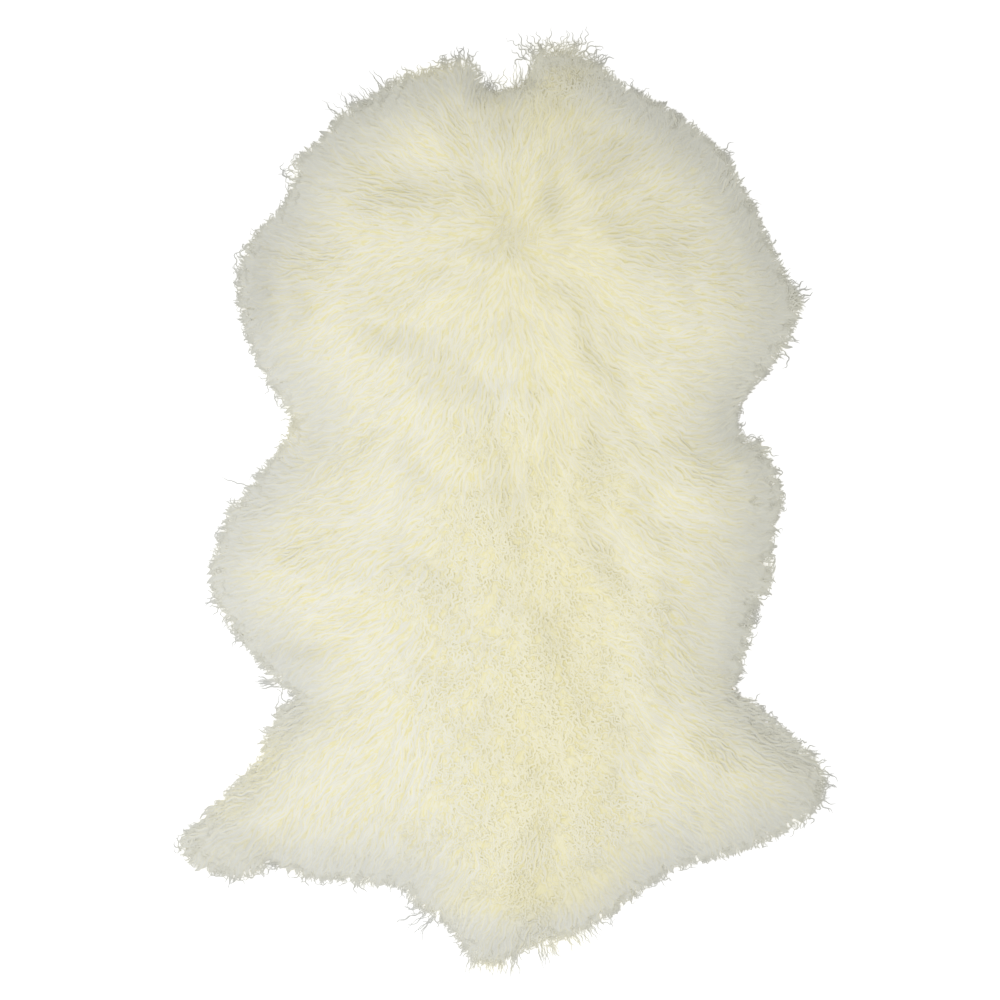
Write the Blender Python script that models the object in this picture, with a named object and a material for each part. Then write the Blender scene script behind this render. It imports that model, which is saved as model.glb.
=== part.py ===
"""Wool pelt rug: a long-haired lambskin that lies flat, wool side up.

The pelt is one piece, because the wool grows from the skin. Underneath is the trimmed skin, a flat
face on the floor. The wool stands out all round it as a lumpy pile, highest along the back, and at
the rim it parts into wavy pointed locks that come down and lie level on the floor.

Metres, +Z up, +Y towards the neck, +X towards the right as seen from above with the neck up.
The origin is on the floor, under the middle of the pelt.
"""
import math
from typing import NamedTuple

import bmesh
import bpy
from mathutils import Vector, noise
from mathutils.geometry import delaunay_2d_cdt
from mathutils.kdtree import KDTree

MM = 0.001

# Driving sizes of the skin
SKIN_THICKNESS = 2.0 * MM
SKIN_INSET = 46.0 * MM

# Driving sizes of the pile
RIM_HEIGHT = 19.0 * MM
PILE_HEIGHT = 52.0 * MM
SHOULDER_WIDTH = 105.0 * MM
TUFT_SIZE = 62.0 * MM
TUFT_HEIGHT = 15.0 * MM
CLUMP_SIZE = 27.0 * MM
CLUMP_HEIGHT = 7.0 * MM
LUMPS_AT_RIM = 0.35
SHOULDER_FULLNESS = 0.75
TOP_SPACING = 16.5 * MM
TOP_CLEARANCE = 0.72 * TOP_SPACING

# Driving sizes of the locks round the rim
LOCK_COUNT = 220
ROOT_INSET = 19.0 * MM
LOWER_ROOT_SHARE = 0.48
LENGTH_SPREAD = 0.35
TIP_LEAN = 0.3
NARROWEST_SHARE = 0.35
SHARE_OF_LIE = 0.6
LEAST_FACING = 0.55

# The line down the back from which the wool falls to both sides
BACK_Y = -40.0 * MM
WHORL_Y = 267.0 * MM
RUMP_Y = -90.0 * MM
FALL_START = 65.0 * MM
FALL_SLOPE = 0.1

WOOL_IVORY = (0.80, 0.77, 0.60, 1.0)

# What delaunay_2d_cdt keeps, and how near two of its points count as one
INSIDE_ONLY = 1
SAME_POINT = 1e-7


class Landmark(NamedTuple):
    """A place on the edge of the dense wool: its bearing from the middle of the back, anticlockwise
    from +X, its reach from there, and how far the tips of its locks stand out past it."""

    name: str
    bearing_deg: float
    reach_mm: float
    tips_mm: float


EDGE = (
    Landmark("right flank, low", -15, 260, 7),
    Landmark("right belly", 4, 270, 7),
    Landmark("right belly crest", 11, 279, 7),
    Landmark("right belly, top", 19, 276, 8),
    Landmark("right waist", 26, 262, 8),
    Landmark("right armpit", 31, 284, 7),
    Landmark("right shoulder, low", 37, 358, 8),
    Landmark("right shoulder crest", 43, 384, 13),
    Landmark("right shoulder, top", 51, 408, 7),
    Landmark("right neck base", 60, 444, 7),
    Landmark("right neck", 70, 465, 8),
    Landmark("right neck lobe", 79, 490, 10),
    Landmark("right neck tip", 86, 502, 12),
    Landmark("neck notch", 90.5, 461, 9),
    Landmark("left neck tip", 96, 489, 11),
    Landmark("left neck", 106, 472, 12),
    Landmark("left neck base", 119, 434, 9),
    Landmark("left shoulder step", 124, 405, 8),
    Landmark("left shoulder, top", 131, 394, 8),
    Landmark("left shoulder crest", 137, 366, 8),
    Landmark("left armpit", 144, 311, 7),
    Landmark("left waist", 151, 241, 7),
    Landmark("left belly, top", 163, 253, 10),
    Landmark("left belly", 174, 275, 12),
    Landmark("left belly crest", 188, 298, 9),
    Landmark("left belly, low", 200, 284, 8),
    Landmark("left flank", 214, 268, 9),
    Landmark("left leg root", 219, 308, 8),
    Landmark("left leg tip", 226, 448, 12),
    Landmark("left leg heel", 231, 431, 11),
    Landmark("left leg, back", 240, 388, 8),
    Landmark("left rump", 253, 360, 12),
    Landmark("tail, left", 261, 391, 10),
    Landmark("tail tip", 267, 421, 9),
    Landmark("tail, right", 275, 404, 7),
    Landmark("right rump", 283, 391, 6),
    Landmark("right leg, back", 296, 370, 6),
    Landmark("right leg heel", 309, 393, 7),
    Landmark("right leg tip", 318, 411, 10),
    Landmark("right leg, front", 324, 391, 8),
    Landmark("right leg root", 328, 290, 8),
    Landmark("right flank", 333, 266, 8),
)


class Parting(NamedTuple):
    """A shallow valley in the wool, where the locks on its two sides lie different ways."""

    name: str
    start_mm: tuple
    end_mm: tuple
    depth_mm: float
    width_mm: float


PARTINGS = (
    Parting("left shoulder", (-146, 352), (-30, 322), 8, 26),
    Parting("right shoulder", (40, 318), (112, 344), 7, 24),
    Parting("whorl", (-8, 258), (30, 300), 8, 30),
    Parting("middle of the back", (2, 120), (6, 30), 5, 34),
)


class Ring(NamedTuple):
    """One step along a lock: how far out it is, the width and height that are left, and how far it
    swings aside, each as a share."""

    along: float
    width: float
    height: float
    swing: float


LOCK_RINGS = (
    Ring(0.30, 0.82, 0.88, 0.06),
    Ring(0.58, 0.68, 0.60, -0.14),
    Ring(0.82, 0.42, 0.30, 0.22),
)


class RimPoint(NamedTuple):
    """A point where the pile's wall stands, the way the wool lies there, and a lock's length."""

    place: Vector
    lie: Vector
    length: float


def clear_scene():
    """Removes every object from the scene."""
    for item in list(bpy.data.objects):
        bpy.data.objects.remove(item, do_unlink=True)


def smooth_step(share):
    """Rises from 0 to 1 with level ends."""
    share = min(1.0, max(0.0, share))
    return share * share * (3 - 2 * share)


def bearing_gap(i):
    """The angle from a landmark to the next one."""
    return (EDGE[(i + 1) % len(EDGE)].bearing_deg - EDGE[i].bearing_deg) % 360


def edge_slopes(values):
    """The slope at each landmark that keeps a cubic through the values free of overshoot."""
    count = len(EDGE)
    steps = [(bearing_gap(i), (values[(i + 1) % count] - values[i]) / bearing_gap(i)) for i in range(count)]
    slopes = []
    for i in range(count):
        (run_a, rise_a), (run_b, rise_b) = steps[i - 1], steps[i]
        if rise_a * rise_b <= 0:
            slopes.append(0.0)
            continue
        weight_a, weight_b = 2 * run_b + run_a, run_b + 2 * run_a
        slopes.append((weight_a + weight_b) / (weight_a / rise_a + weight_b / rise_b))
    return slopes


REACHES = [mark.reach_mm * MM for mark in EDGE]
TIPS = [mark.tips_mm * MM for mark in EDGE]
REACH_SLOPES = edge_slopes(REACHES)
TIP_SLOPES = edge_slopes(TIPS)


def along_edge(bearing_deg, values, slopes):
    """The value at a bearing, on the smooth closed curve through the landmarks' values."""
    first = EDGE[0].bearing_deg
    turned = (bearing_deg - first) % 360 + first
    i = max(k for k, mark in enumerate(EDGE) if mark.bearing_deg <= turned)
    following = (i + 1) % len(EDGE)
    run = bearing_gap(i)
    t = (turned - EDGE[i].bearing_deg) / run
    start = values[i] * (1 + 2 * t) * (1 - t) ** 2 + slopes[i] * run * t * (1 - t) ** 2
    end = values[following] * t * t * (3 - 2 * t) - slopes[following] * run * t * t * (1 - t)
    return start + end


def edge_point(bearing_deg, inset):
    """A point this far inside the edge of the dense wool."""
    reach = along_edge(bearing_deg, REACHES, REACH_SLOPES) - inset
    angle = math.radians(bearing_deg)
    return Vector((reach * math.cos(angle), BACK_Y + reach * math.sin(angle)))


def even_bearings(inset, count, fine_steps=1440):
    """Bearings whose points are the same distance apart along the edge."""
    bearings = [360 * k / fine_steps for k in range(fine_steps + 1)]
    line = [edge_point(b, inset) for b in bearings]
    travelled = [0.0]
    for a, b in zip(line, line[1:]):
        travelled.append(travelled[-1] + (b - a).length)
    spaced, k = [], 0
    for n in range(count):
        wanted = travelled[-1] * n / count
        while travelled[k + 1] < wanted:
            k += 1
        share = (wanted - travelled[k]) / (travelled[k + 1] - travelled[k])
        spaced.append(bearings[k] + share * (bearings[k + 1] - bearings[k]))
    return spaced


def averaged(vectors, reach):
    """Each vector of a closed loop, averaged with its neighbours on both sides."""
    count = len(vectors)
    means = []
    for i in range(count):
        total = Vector((0.0, 0.0))
        for k in range(i - reach, i + reach + 1):
            total += vectors[k % count]
        means.append(total / (2 * reach + 1))
    return means


def wool_lie(point):
    """The level direction in which the wool lies at a point: away from the line down the back."""
    falls_from = point.y + FALL_SLOPE * abs(point.x) + FALL_START
    source = Vector((0.0, min(WHORL_Y, max(RUMP_Y, falls_from))))
    return (point - source).normalized()


def rim_points():
    """The points of the pile's wall, all round."""
    bearings = even_bearings(ROOT_INSET, LOCK_COUNT)
    places = [edge_point(b, ROOT_INSET) for b in bearings]
    facings = []
    for i, before in enumerate(places[-1:] + places[:-1]):
        run = places[(i + 1) % LOCK_COUNT] - before
        facings.append(Vector((run.y, -run.x)).normalized())
    facings = [facing.normalized() for facing in averaged(facings, 1)]
    lies = averaged([facing + SHARE_OF_LIE * wool_lie(place) for facing, place in zip(facings, places)], 3)
    points = []
    for bearing, place, facing, lie in zip(bearings, places, facings, lies):
        lie.normalize()
        outward = Vector((math.cos(math.radians(bearing)), math.sin(math.radians(bearing))))
        overhang = ROOT_INSET * facing.dot(outward) + along_edge(bearing, TIPS, TIP_SLOPES)
        points.append(RimPoint(place, lie, overhang / max(LEAST_FACING, facing.dot(lie))))
    return points


def room_between(left, right):
    """How far out two neighbouring rim points' lies still leave a lock enough width."""
    out = left.lie + right.lie
    width = out.x * (right.place.y - left.place.y) - out.y * (right.place.x - left.place.x)
    closing = out.y * (right.lie.x - left.lie.x) - out.x * (right.lie.y - left.lie.y)
    return (1 - NARROWEST_SHARE) * width / closing if closing > 0 else math.inf


def parting_depth(point):
    """How far the partings press the wool down at a point."""
    depth = 0.0
    for parting in PARTINGS:
        start, end = Vector(parting.start_mm) * MM, Vector(parting.end_mm) * MM
        run = end - start
        share = min(1.0, max(0.0, (point - start).dot(run) / run.length_squared))
        away = (point - start - share * run).length / (parting.width_mm * MM)
        depth += parting.depth_mm * MM * math.exp(-away * away)
    return depth


def pile_height(point, from_rim):
    """The height of the wool's top over the floor."""
    lift = smooth_step(from_rim / SHOULDER_WIDTH) ** SHOULDER_FULLNESS
    dome = RIM_HEIGHT + (PILE_HEIGHT - RIM_HEIGHT) * lift
    tufts = TUFT_HEIGHT * noise.noise(Vector((point.x / TUFT_SIZE, point.y / TUFT_SIZE, 1.7)))
    clumps = CLUMP_HEIGHT * noise.noise(Vector((point.x / CLUMP_SIZE, point.y / CLUMP_SIZE, 5.2)))
    fullness = LUMPS_AT_RIM + (1 - LUMPS_AT_RIM) * lift
    return dome + fullness * (tufts + clumps) - lift * parting_depth(point)


def inside(point, outline):
    """True if a point is inside a closed outline."""
    within = False
    for a, b in zip(outline, outline[1:] + outline[:1]):
        if (a.y > point.y) != (b.y > point.y):
            if point.x < a.x + (b.x - a.x) * (point.y - a.y) / (b.y - a.y):
                within = not within
    return within


def nearest_on(outline):
    """A search tree of an outline's points."""
    tree = KDTree(len(outline))
    for i, point in enumerate(outline):
        tree.insert((point.x, point.y, 0.0), i)
    tree.balance()
    return tree


def lattice_inside(outline, tree):
    """Points of a triangular lattice that lie well inside an outline."""
    row_step = TOP_SPACING * math.sqrt(3) / 2
    low_x, high_x = min(p.x for p in outline), max(p.x for p in outline)
    low_y, high_y = min(p.y for p in outline), max(p.y for p in outline)
    points = []
    for row in range(int((high_y - low_y) / row_step) + 1):
        for column in range(int((high_x - low_x) / TOP_SPACING) + 2):
            point = Vector((low_x + (column - 0.5 * (row % 2)) * TOP_SPACING, low_y + row * row_step))
            clearance = tree.find((point.x, point.y, 0.0))[2]
            if clearance > TOP_CLEARANCE and inside(point, outline):
                points.append(point)
    return points


def cover_top(bm, outline):
    """Adds the top of the pile over an outline. Returns the vertices round its rim."""
    tree = nearest_on(outline)
    count = len(outline)
    border = [(i, (i + 1) % count) for i in range(count)]
    flat = outline + lattice_inside(outline, tree)
    places, _, triangles, *_ = delaunay_2d_cdt(flat, border, [], INSIDE_ONLY, SAME_POINT)
    verts = []
    for place in places:
        from_rim = tree.find((place.x, place.y, 0.0))[2]
        verts.append(bm.verts.new((place.x, place.y, pile_height(place, from_rim))))
    for corners in triangles:
        bm.faces.new([verts[i] for i in corners])
    return verts[:count]


def extend_down(bm, rim, place_of):
    """Extrudes a closed rim of vertices into a band of quads. place_of gives each new vertex its place.

    Returns the new rim and the band's quads, in the rim's order."""
    count = len(rim)
    lower = [bm.verts.new(place_of(i, vertex)) for i, vertex in enumerate(rim)]
    band = []
    for i in range(count):
        following = (i + 1) % count
        band.append(bm.faces.new((lower[i], lower[following], rim[following], rim[i])))
    return lower, band


def grow_lock(bm, root, left, right, length, side, lean):
    """Extrudes a quad of the wall outwards into a wavy pointed lock that comes down to the floor.

    The lock keeps between the lies of its two rim points, so that it never crosses its neighbour."""
    bottom, top = root.verts[0].co.z, root.verts[2].co.z
    face = root
    for ring in LOCK_RINGS:
        face = bmesh.ops.extrude_discrete_faces(bm, faces=[face])["faces"][0]
        start = left.place + ring.along * length * left.lie
        end = right.place + ring.along * length * right.lie
        middle = 0.5 + side * ring.swing + lean * ring.along * (1 - ring.width)
        low_z = bottom * max(0.0, 1 - ring.along / LOCK_RINGS[1].along)
        for vertex, edge in zip(face.verts, (-0.5, 0.5, 0.5, -0.5)):
            vertex.co.xy = start.lerp(end, middle + edge * ring.width)
        for vertex in face.verts[:2]:
            vertex.co.z = low_z
        for vertex in face.verts[2:]:
            vertex.co.z = top * ring.height
    face = bmesh.ops.extrude_discrete_faces(bm, faces=[face])["faces"][0]
    tip = (left.place + length * left.lie).lerp(right.place + length * right.lie, 0.5 + lean)
    bmesh.ops.pointmerge(bm, verts=list(face.verts), merge_co=(tip.x, tip.y, 0.0))


def lower_root_top(wall_top):
    """The height where the wall's lower row of locks ends and the upper row begins."""
    return SKIN_THICKNESS + LOWER_ROOT_SHARE * (wall_top - SKIN_THICKNESS)


def build_pelt():
    """The skin, the pile and its rim of locks, as one solid."""
    rim = rim_points()
    skin_edge = averaged([edge_point(b, SKIN_INSET) for b in even_bearings(ROOT_INSET, LOCK_COUNT)], 4)
    bm = bmesh.new()
    top_rim = cover_top(bm, [point.place for point in rim])
    middle_rim, upper_wall = extend_down(bm, top_rim, lambda i, v: (*v.co.xy, lower_root_top(v.co.z)))
    low_rim, lower_wall = extend_down(bm, middle_rim, lambda i, v: (*v.co.xy, SKIN_THICKNESS))
    skin_top, _ = extend_down(bm, low_rim, lambda i, v: (*skin_edge[i], SKIN_THICKNESS))
    skin_foot, _ = extend_down(bm, skin_top, lambda i, v: (*v.co.xy, 0.0))
    bm.faces.new(reversed(skin_foot))
    for i, (lower, upper) in enumerate(zip(lower_wall, upper_wall)):
        left, right = rim[i], rim[(i + 1) % LOCK_COUNT]
        chance = noise.noise(Vector((i * 0.83, 3.1, 0.4)))
        length = 0.5 * (left.length + right.length) * (1 + 2 * LENGTH_SPREAD * chance)
        lean = TIP_LEAN * noise.noise(Vector((i * 0.61, 7.7, 2.2)))
        root = upper if i % 2 else lower
        grow_lock(bm, root, left, right, min(length, room_between(left, right)), 1 if i % 3 else -1, lean)
    mesh = bpy.data.meshes.new("pelt")
    bm.to_mesh(mesh)
    bm.free()
    return bpy.data.objects.new("pelt", mesh)


def wool_material():
    """Undyed ivory wool."""
    material = bpy.data.materials.new("ivory_wool")
    material.use_nodes = True
    shader = material.node_tree.nodes["Principled BSDF"]
    shader.inputs["Base Color"].default_value = WOOL_IVORY
    shader.inputs["Roughness"].default_value = 0.9
    shader.inputs["Metallic"].default_value = 0.0
    return material


def main():
    """Builds the pelt in a collection of its own."""
    clear_scene()
    rug = bpy.data.collections.new("wool_pelt_rug")
    bpy.context.scene.collection.children.link(rug)
    pelt = build_pelt()
    pelt.data.materials.append(wool_material())
    rug.objects.link(pelt)


main()
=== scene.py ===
"""The looks of a wool pelt rug: a long-haired lambskin in undyed ivory wool, lying flat, wool side up.

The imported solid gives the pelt's shape: the outline of its skin, the wall of its pile and the height
of its wool. On that shape this script lays the suede skin, a dense undercoat, and thousands of wavy
locks which lie the way the wool does: away from the back, over the rim and down to the floor.
"""
from __future__ import annotations

import logging
import math
from dataclasses import dataclass, field, replace
from enum import Enum

import bmesh
import bpy
import numpy as np
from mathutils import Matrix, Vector, noise
from mathutils.bvhtree import BVHTree
from mathutils.kdtree import KDTree


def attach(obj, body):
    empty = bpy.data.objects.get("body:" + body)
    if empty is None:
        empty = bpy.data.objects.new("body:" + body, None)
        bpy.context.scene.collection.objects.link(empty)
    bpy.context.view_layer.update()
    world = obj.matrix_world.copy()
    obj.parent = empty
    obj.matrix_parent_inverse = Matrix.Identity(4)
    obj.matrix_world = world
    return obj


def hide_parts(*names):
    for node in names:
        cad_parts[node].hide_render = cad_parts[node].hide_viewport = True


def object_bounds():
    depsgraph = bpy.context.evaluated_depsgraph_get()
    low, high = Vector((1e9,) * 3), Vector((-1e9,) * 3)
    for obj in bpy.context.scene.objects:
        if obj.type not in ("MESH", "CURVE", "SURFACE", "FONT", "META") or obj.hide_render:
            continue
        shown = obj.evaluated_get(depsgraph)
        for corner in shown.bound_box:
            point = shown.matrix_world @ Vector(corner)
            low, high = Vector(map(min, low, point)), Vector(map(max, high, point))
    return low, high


LOG = logging.getLogger("wool_pelt_rug")
MM = 0.001

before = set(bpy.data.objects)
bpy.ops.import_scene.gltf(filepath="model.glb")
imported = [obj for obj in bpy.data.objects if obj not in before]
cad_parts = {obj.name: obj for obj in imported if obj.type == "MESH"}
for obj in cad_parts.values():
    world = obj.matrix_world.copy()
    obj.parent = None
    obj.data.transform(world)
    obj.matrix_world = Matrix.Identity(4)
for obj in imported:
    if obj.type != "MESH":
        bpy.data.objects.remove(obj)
CAD_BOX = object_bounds()
NODE = "pelt"
BODY = "root"

# The middle of the back, round which the pelt's outline is star-shaped
BACK = np.array([0.0, -40.0]) * MM
SKIN_TOP = 2.0 * MM
# How far the dense wool hangs over the wall of the pile
OVERHANG = 19.0 * MM
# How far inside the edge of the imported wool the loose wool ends
EDGE_TRIM = 3.0 * MM
# How far inside its edge the wool begins to fall to the floor
FALL_WIDTH = 24.0 * MM
# How thick a lock is against its width
LOCK_FLATNESS = 0.22
FLOOR_CLEARANCE = 0.4 * MM
# How far a lock takes its light as the whole coat does, because light passes through fine wool
COAT_SHARE = 0.93
# Painted shade: how yellow the two lower edges of a lock are, in the shade of the lock itself, against 1 for
# the wool deep in the pile
LOCK_EDGE_SHADE = 1.0
UV_LENGTH = 20.0 * MM
# A lock that the edge would cut to less than this share of its least length is left out
LEAST_SHARE = 0.45
# The furthest that a lock turns along its length
FULLEST_TURN = math.radians(230)
# How wide a lock may be against the radius of its bend, so that it doesn't fold over itself
WIDTH_TO_BEND = 1.5
# How far a lock's crimp rises and falls against how far it swings aside
CRIMP_RISE = 0.2
# The furthest that a lock swings aside or stands up, against its length
SWING_LIMIT = 0.1
# Over what share of its length a lock's crimp grows to its full swing
CRIMP_GROWTH = 0.25
# How deep a lock's root may lie against its length, and over what share of it the lock comes out
ROOT_SHARE = 0.14
EMERGING_SHARE = 0.3
# How wide a lock is at its root against its full width, and how it narrows towards its tip
ROOT_WIDTH = 0.55
TAPER_LATE = 2.6
TAPER_BLUNT = 0.7
# How early a lock rises out of the pile, and how soon it stands highest
ROOT_CURVE = 1.5
LOFT_EARLY = 0.8
# How far a lock's lower side reaches under its middle line, against its width and flatness
UNDER_SHARE = 0.6
# The edge cuts a lock to no less than this share of its length at a time
SHORTEST_CUT = 0.25
# The least that a bunch draws a lock in, against the most, and how late along it that happens
LEAST_CLUMP = 0.4
CLUMP_LATE = 1.4
# What each vertex of the wool carries for its colour to follow, painted shade and painted light among it
DRESSING = ("along", "tint", "rim", "wisp", "warm", "cool", "sunk")


class Coat(Enum):
    """The kinds of lock on the pelt, and the seed from which each is laid."""

    FLANK = 11
    BACK = 23
    RIM = 37
    FLYAWAY = 53
    TUFT = 71


@dataclass(frozen=True)
class Spot:
    """A named place on the pelt."""

    name: str
    x_mm: float
    y_mm: float

    def away(self, places: np.ndarray) -> np.ndarray:
        """Level points, measured from the place."""
        return places - np.array([self.x_mm, self.y_mm]) * MM


@dataclass(frozen=True)
class RoundSpot(Spot):
    """A place whose effect fades evenly all round it."""

    reach_mm: float

    def near(self, places: np.ndarray) -> np.ndarray:
        """How near level points are: 1 in the middle, and falling off over the place's reach."""
        return np.exp(-(self.away(places) ** 2).sum(axis=-1) / (self.reach_mm * MM) ** 2)


@dataclass(frozen=True)
class OvalSpot(Spot):
    """A place with its own sizes along X and Y."""

    wide_mm: float
    tall_mm: float

    def offset(self, places: np.ndarray) -> np.ndarray:
        """Level points, measured from the place in its own sizes."""
        return self.away(places) / (np.array([self.wide_mm, self.tall_mm]) * MM)


@dataclass(frozen=True)
class Cowlick(RoundSpot):
    """A place where the wool lies its own way, which is given anticlockwise from +X."""

    lie_deg: float


COWLICKS = (
    Cowlick("right shoulder, top", 234, 300, 45, 48),
    Cowlick("right shoulder", 214, 150, 60, 4),
    Cowlick("right neck", 120, 362, 45, 52),
    Cowlick("neck, right of the notch", 54, 400, 45, 68),
    Cowlick("left of the whorl", -90, 262, 40, 196),
    Cowlick("left shoulder, combed", -92, 332, 34, 158),
    Cowlick("left shoulder", -236, 242, 40, 146),
    Cowlick("right waist", 226, 68, 34, 24),
    Cowlick("left rump", -186, -300, 50, 238),
    Cowlick("left leg, inner side", -190, -352, 36, 252),
    Cowlick("tail, left", -116, -366, 36, 252),
    Cowlick("tail, left half", -60, -392, 54, 220),
    Cowlick("tail, middle", -4, -402, 44, 230),
    Cowlick("tail, right", 84, -370, 34, 310),
    Cowlick("left leg", -286, -330, 44, 222),
    Cowlick("left leg, upper side", -236, -246, 34, 222),
    Cowlick("left flank notch", -196, -196, 30, 208),
    Cowlick("left belly", -216, -96, 40, 204),
    Cowlick("right flank notch", 212, -192, 34, -26),
    Cowlick("right leg, upper side", 262, -228, 34, -32),
    Cowlick("right leg", 290, -280, 40, -32),
    Cowlick("right rump", 170, -306, 46, -46),
)


@dataclass(frozen=True)
class EdgeShift(RoundSpot):
    """A place where the loose wool reaches past the dense edge, or stops short of it below 0."""

    shift_mm: float


EDGE_SHIFTS = (
    EdgeShift("left shoulder, notch over it", -216, 337, 10, 4),
    EdgeShift("left lobe, upper edge", -82, 436, 20, -9),
    EdgeShift("right lobe, right side", 129, 415, 14, -3),
    EdgeShift("right shoulder, top corner", 239, 317, 14, -3),
    EdgeShift("left belly, top", -281, -8, 14, 5),
    EdgeShift("tail, tip", -16, -465, 16, 4),
    EdgeShift("tail, right", 74, -436, 28, 3),
    EdgeShift("left rump", -136, -386, 18, 4),
    EdgeShift("right waist, under it", 264, 60, 9, 9),
    EdgeShift("right belly, top", 279, 2, 20, 3),
    EdgeShift("neck notch, left half", -14, 418, 15, -17),
    EdgeShift("neck notch, right half", 12, 426, 15, -19),
    EdgeShift("neck, left of the notch", -42, 446, 13, 3),
    EdgeShift("left flank, lobe over the notch", -240, -184, 10, 3),
    EdgeShift("left flank notch", -212, -193, 10, -9),
    EdgeShift("left leg, lobe under the notch", -228, -209, 9, 7),
    EdgeShift("left leg, cleft", -234, -361, 8, -12),
    EdgeShift("neck, right", 120, 425, 36, -7),
    EdgeShift("neck, top right", 34, 462, 24, -13),
    EdgeShift("neck, top left", -60, 446, 24, -8),
    EdgeShift("neck, left", -138, 410, 26, -5),
    EdgeShift("left shoulder, top", -190, 374, 20, -7),
    EdgeShift("left shoulder, middle", -230, 312, 20, -6),
    EdgeShift("left shoulder, low", -262, 160, 28, -2),
    EdgeShift("left belly, low", -262, -143, 26, -2),
    EdgeShift("left leg, upper side", -231, -203, 18, -6),
    EdgeShift("left leg, outer side", -264, -258, 22, -7),
    EdgeShift("left leg, tip", -318, -340, 22, 20),
    EdgeShift("left leg, over the tip", -296, -306, 14, 5),
    EdgeShift("left leg, under notch", -232, -378, 20, -11),
    EdgeShift("tail, left", -66, -428, 18, -5),
    EdgeShift("tail, left root", -90, -400, 14, 6),
    EdgeShift("right rump", 184, -380, 40, -3),
    EdgeShift("right leg, upper side", 262, -204, 24, -3),
    EdgeShift("right flank notch", 234, -184, 14, -10),
    EdgeShift("right flank, cleft", 235, -188, 7, -8),
    EdgeShift("right leg, tip", 318, -262, 26, 2),
    EdgeShift("right leg, under side", 298, -326, 30, -3),
    EdgeShift("right belly, point", 264, -87, 9, 5),
    EdgeShift("right belly, hollow", 246, -112, 9, -4),
    EdgeShift("right belly, low", 254, -122, 26, 0),
    EdgeShift("right belly, middle", 268, -72, 18, 7),
    EdgeShift("right waist", 248, 84, 22, -9),
    EdgeShift("right shoulder, low", 294, 198, 16, 11),
    EdgeShift("right shoulder, under the point", 286, 152, 18, 3),
    EdgeShift("right shoulder, middle", 264, 262, 26, -1),
    EdgeShift("right shoulder, top", 214, 356, 30, -1),
)


@dataclass(frozen=True)
class Tuft(Spot):
    """A bunch of locks that stands out by itself: its kind, how widely and how deeply its roots are
    spread across and along its lie, that lie, how far it fans out, how far each lock turns, and the
    number and size of its locks."""

    kind: Coat
    wide_mm: float
    deep_mm: float
    lie_deg: float
    fan_deg: float
    turn_deg: float
    count: int
    length_mm: float
    width_mm: float


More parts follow.
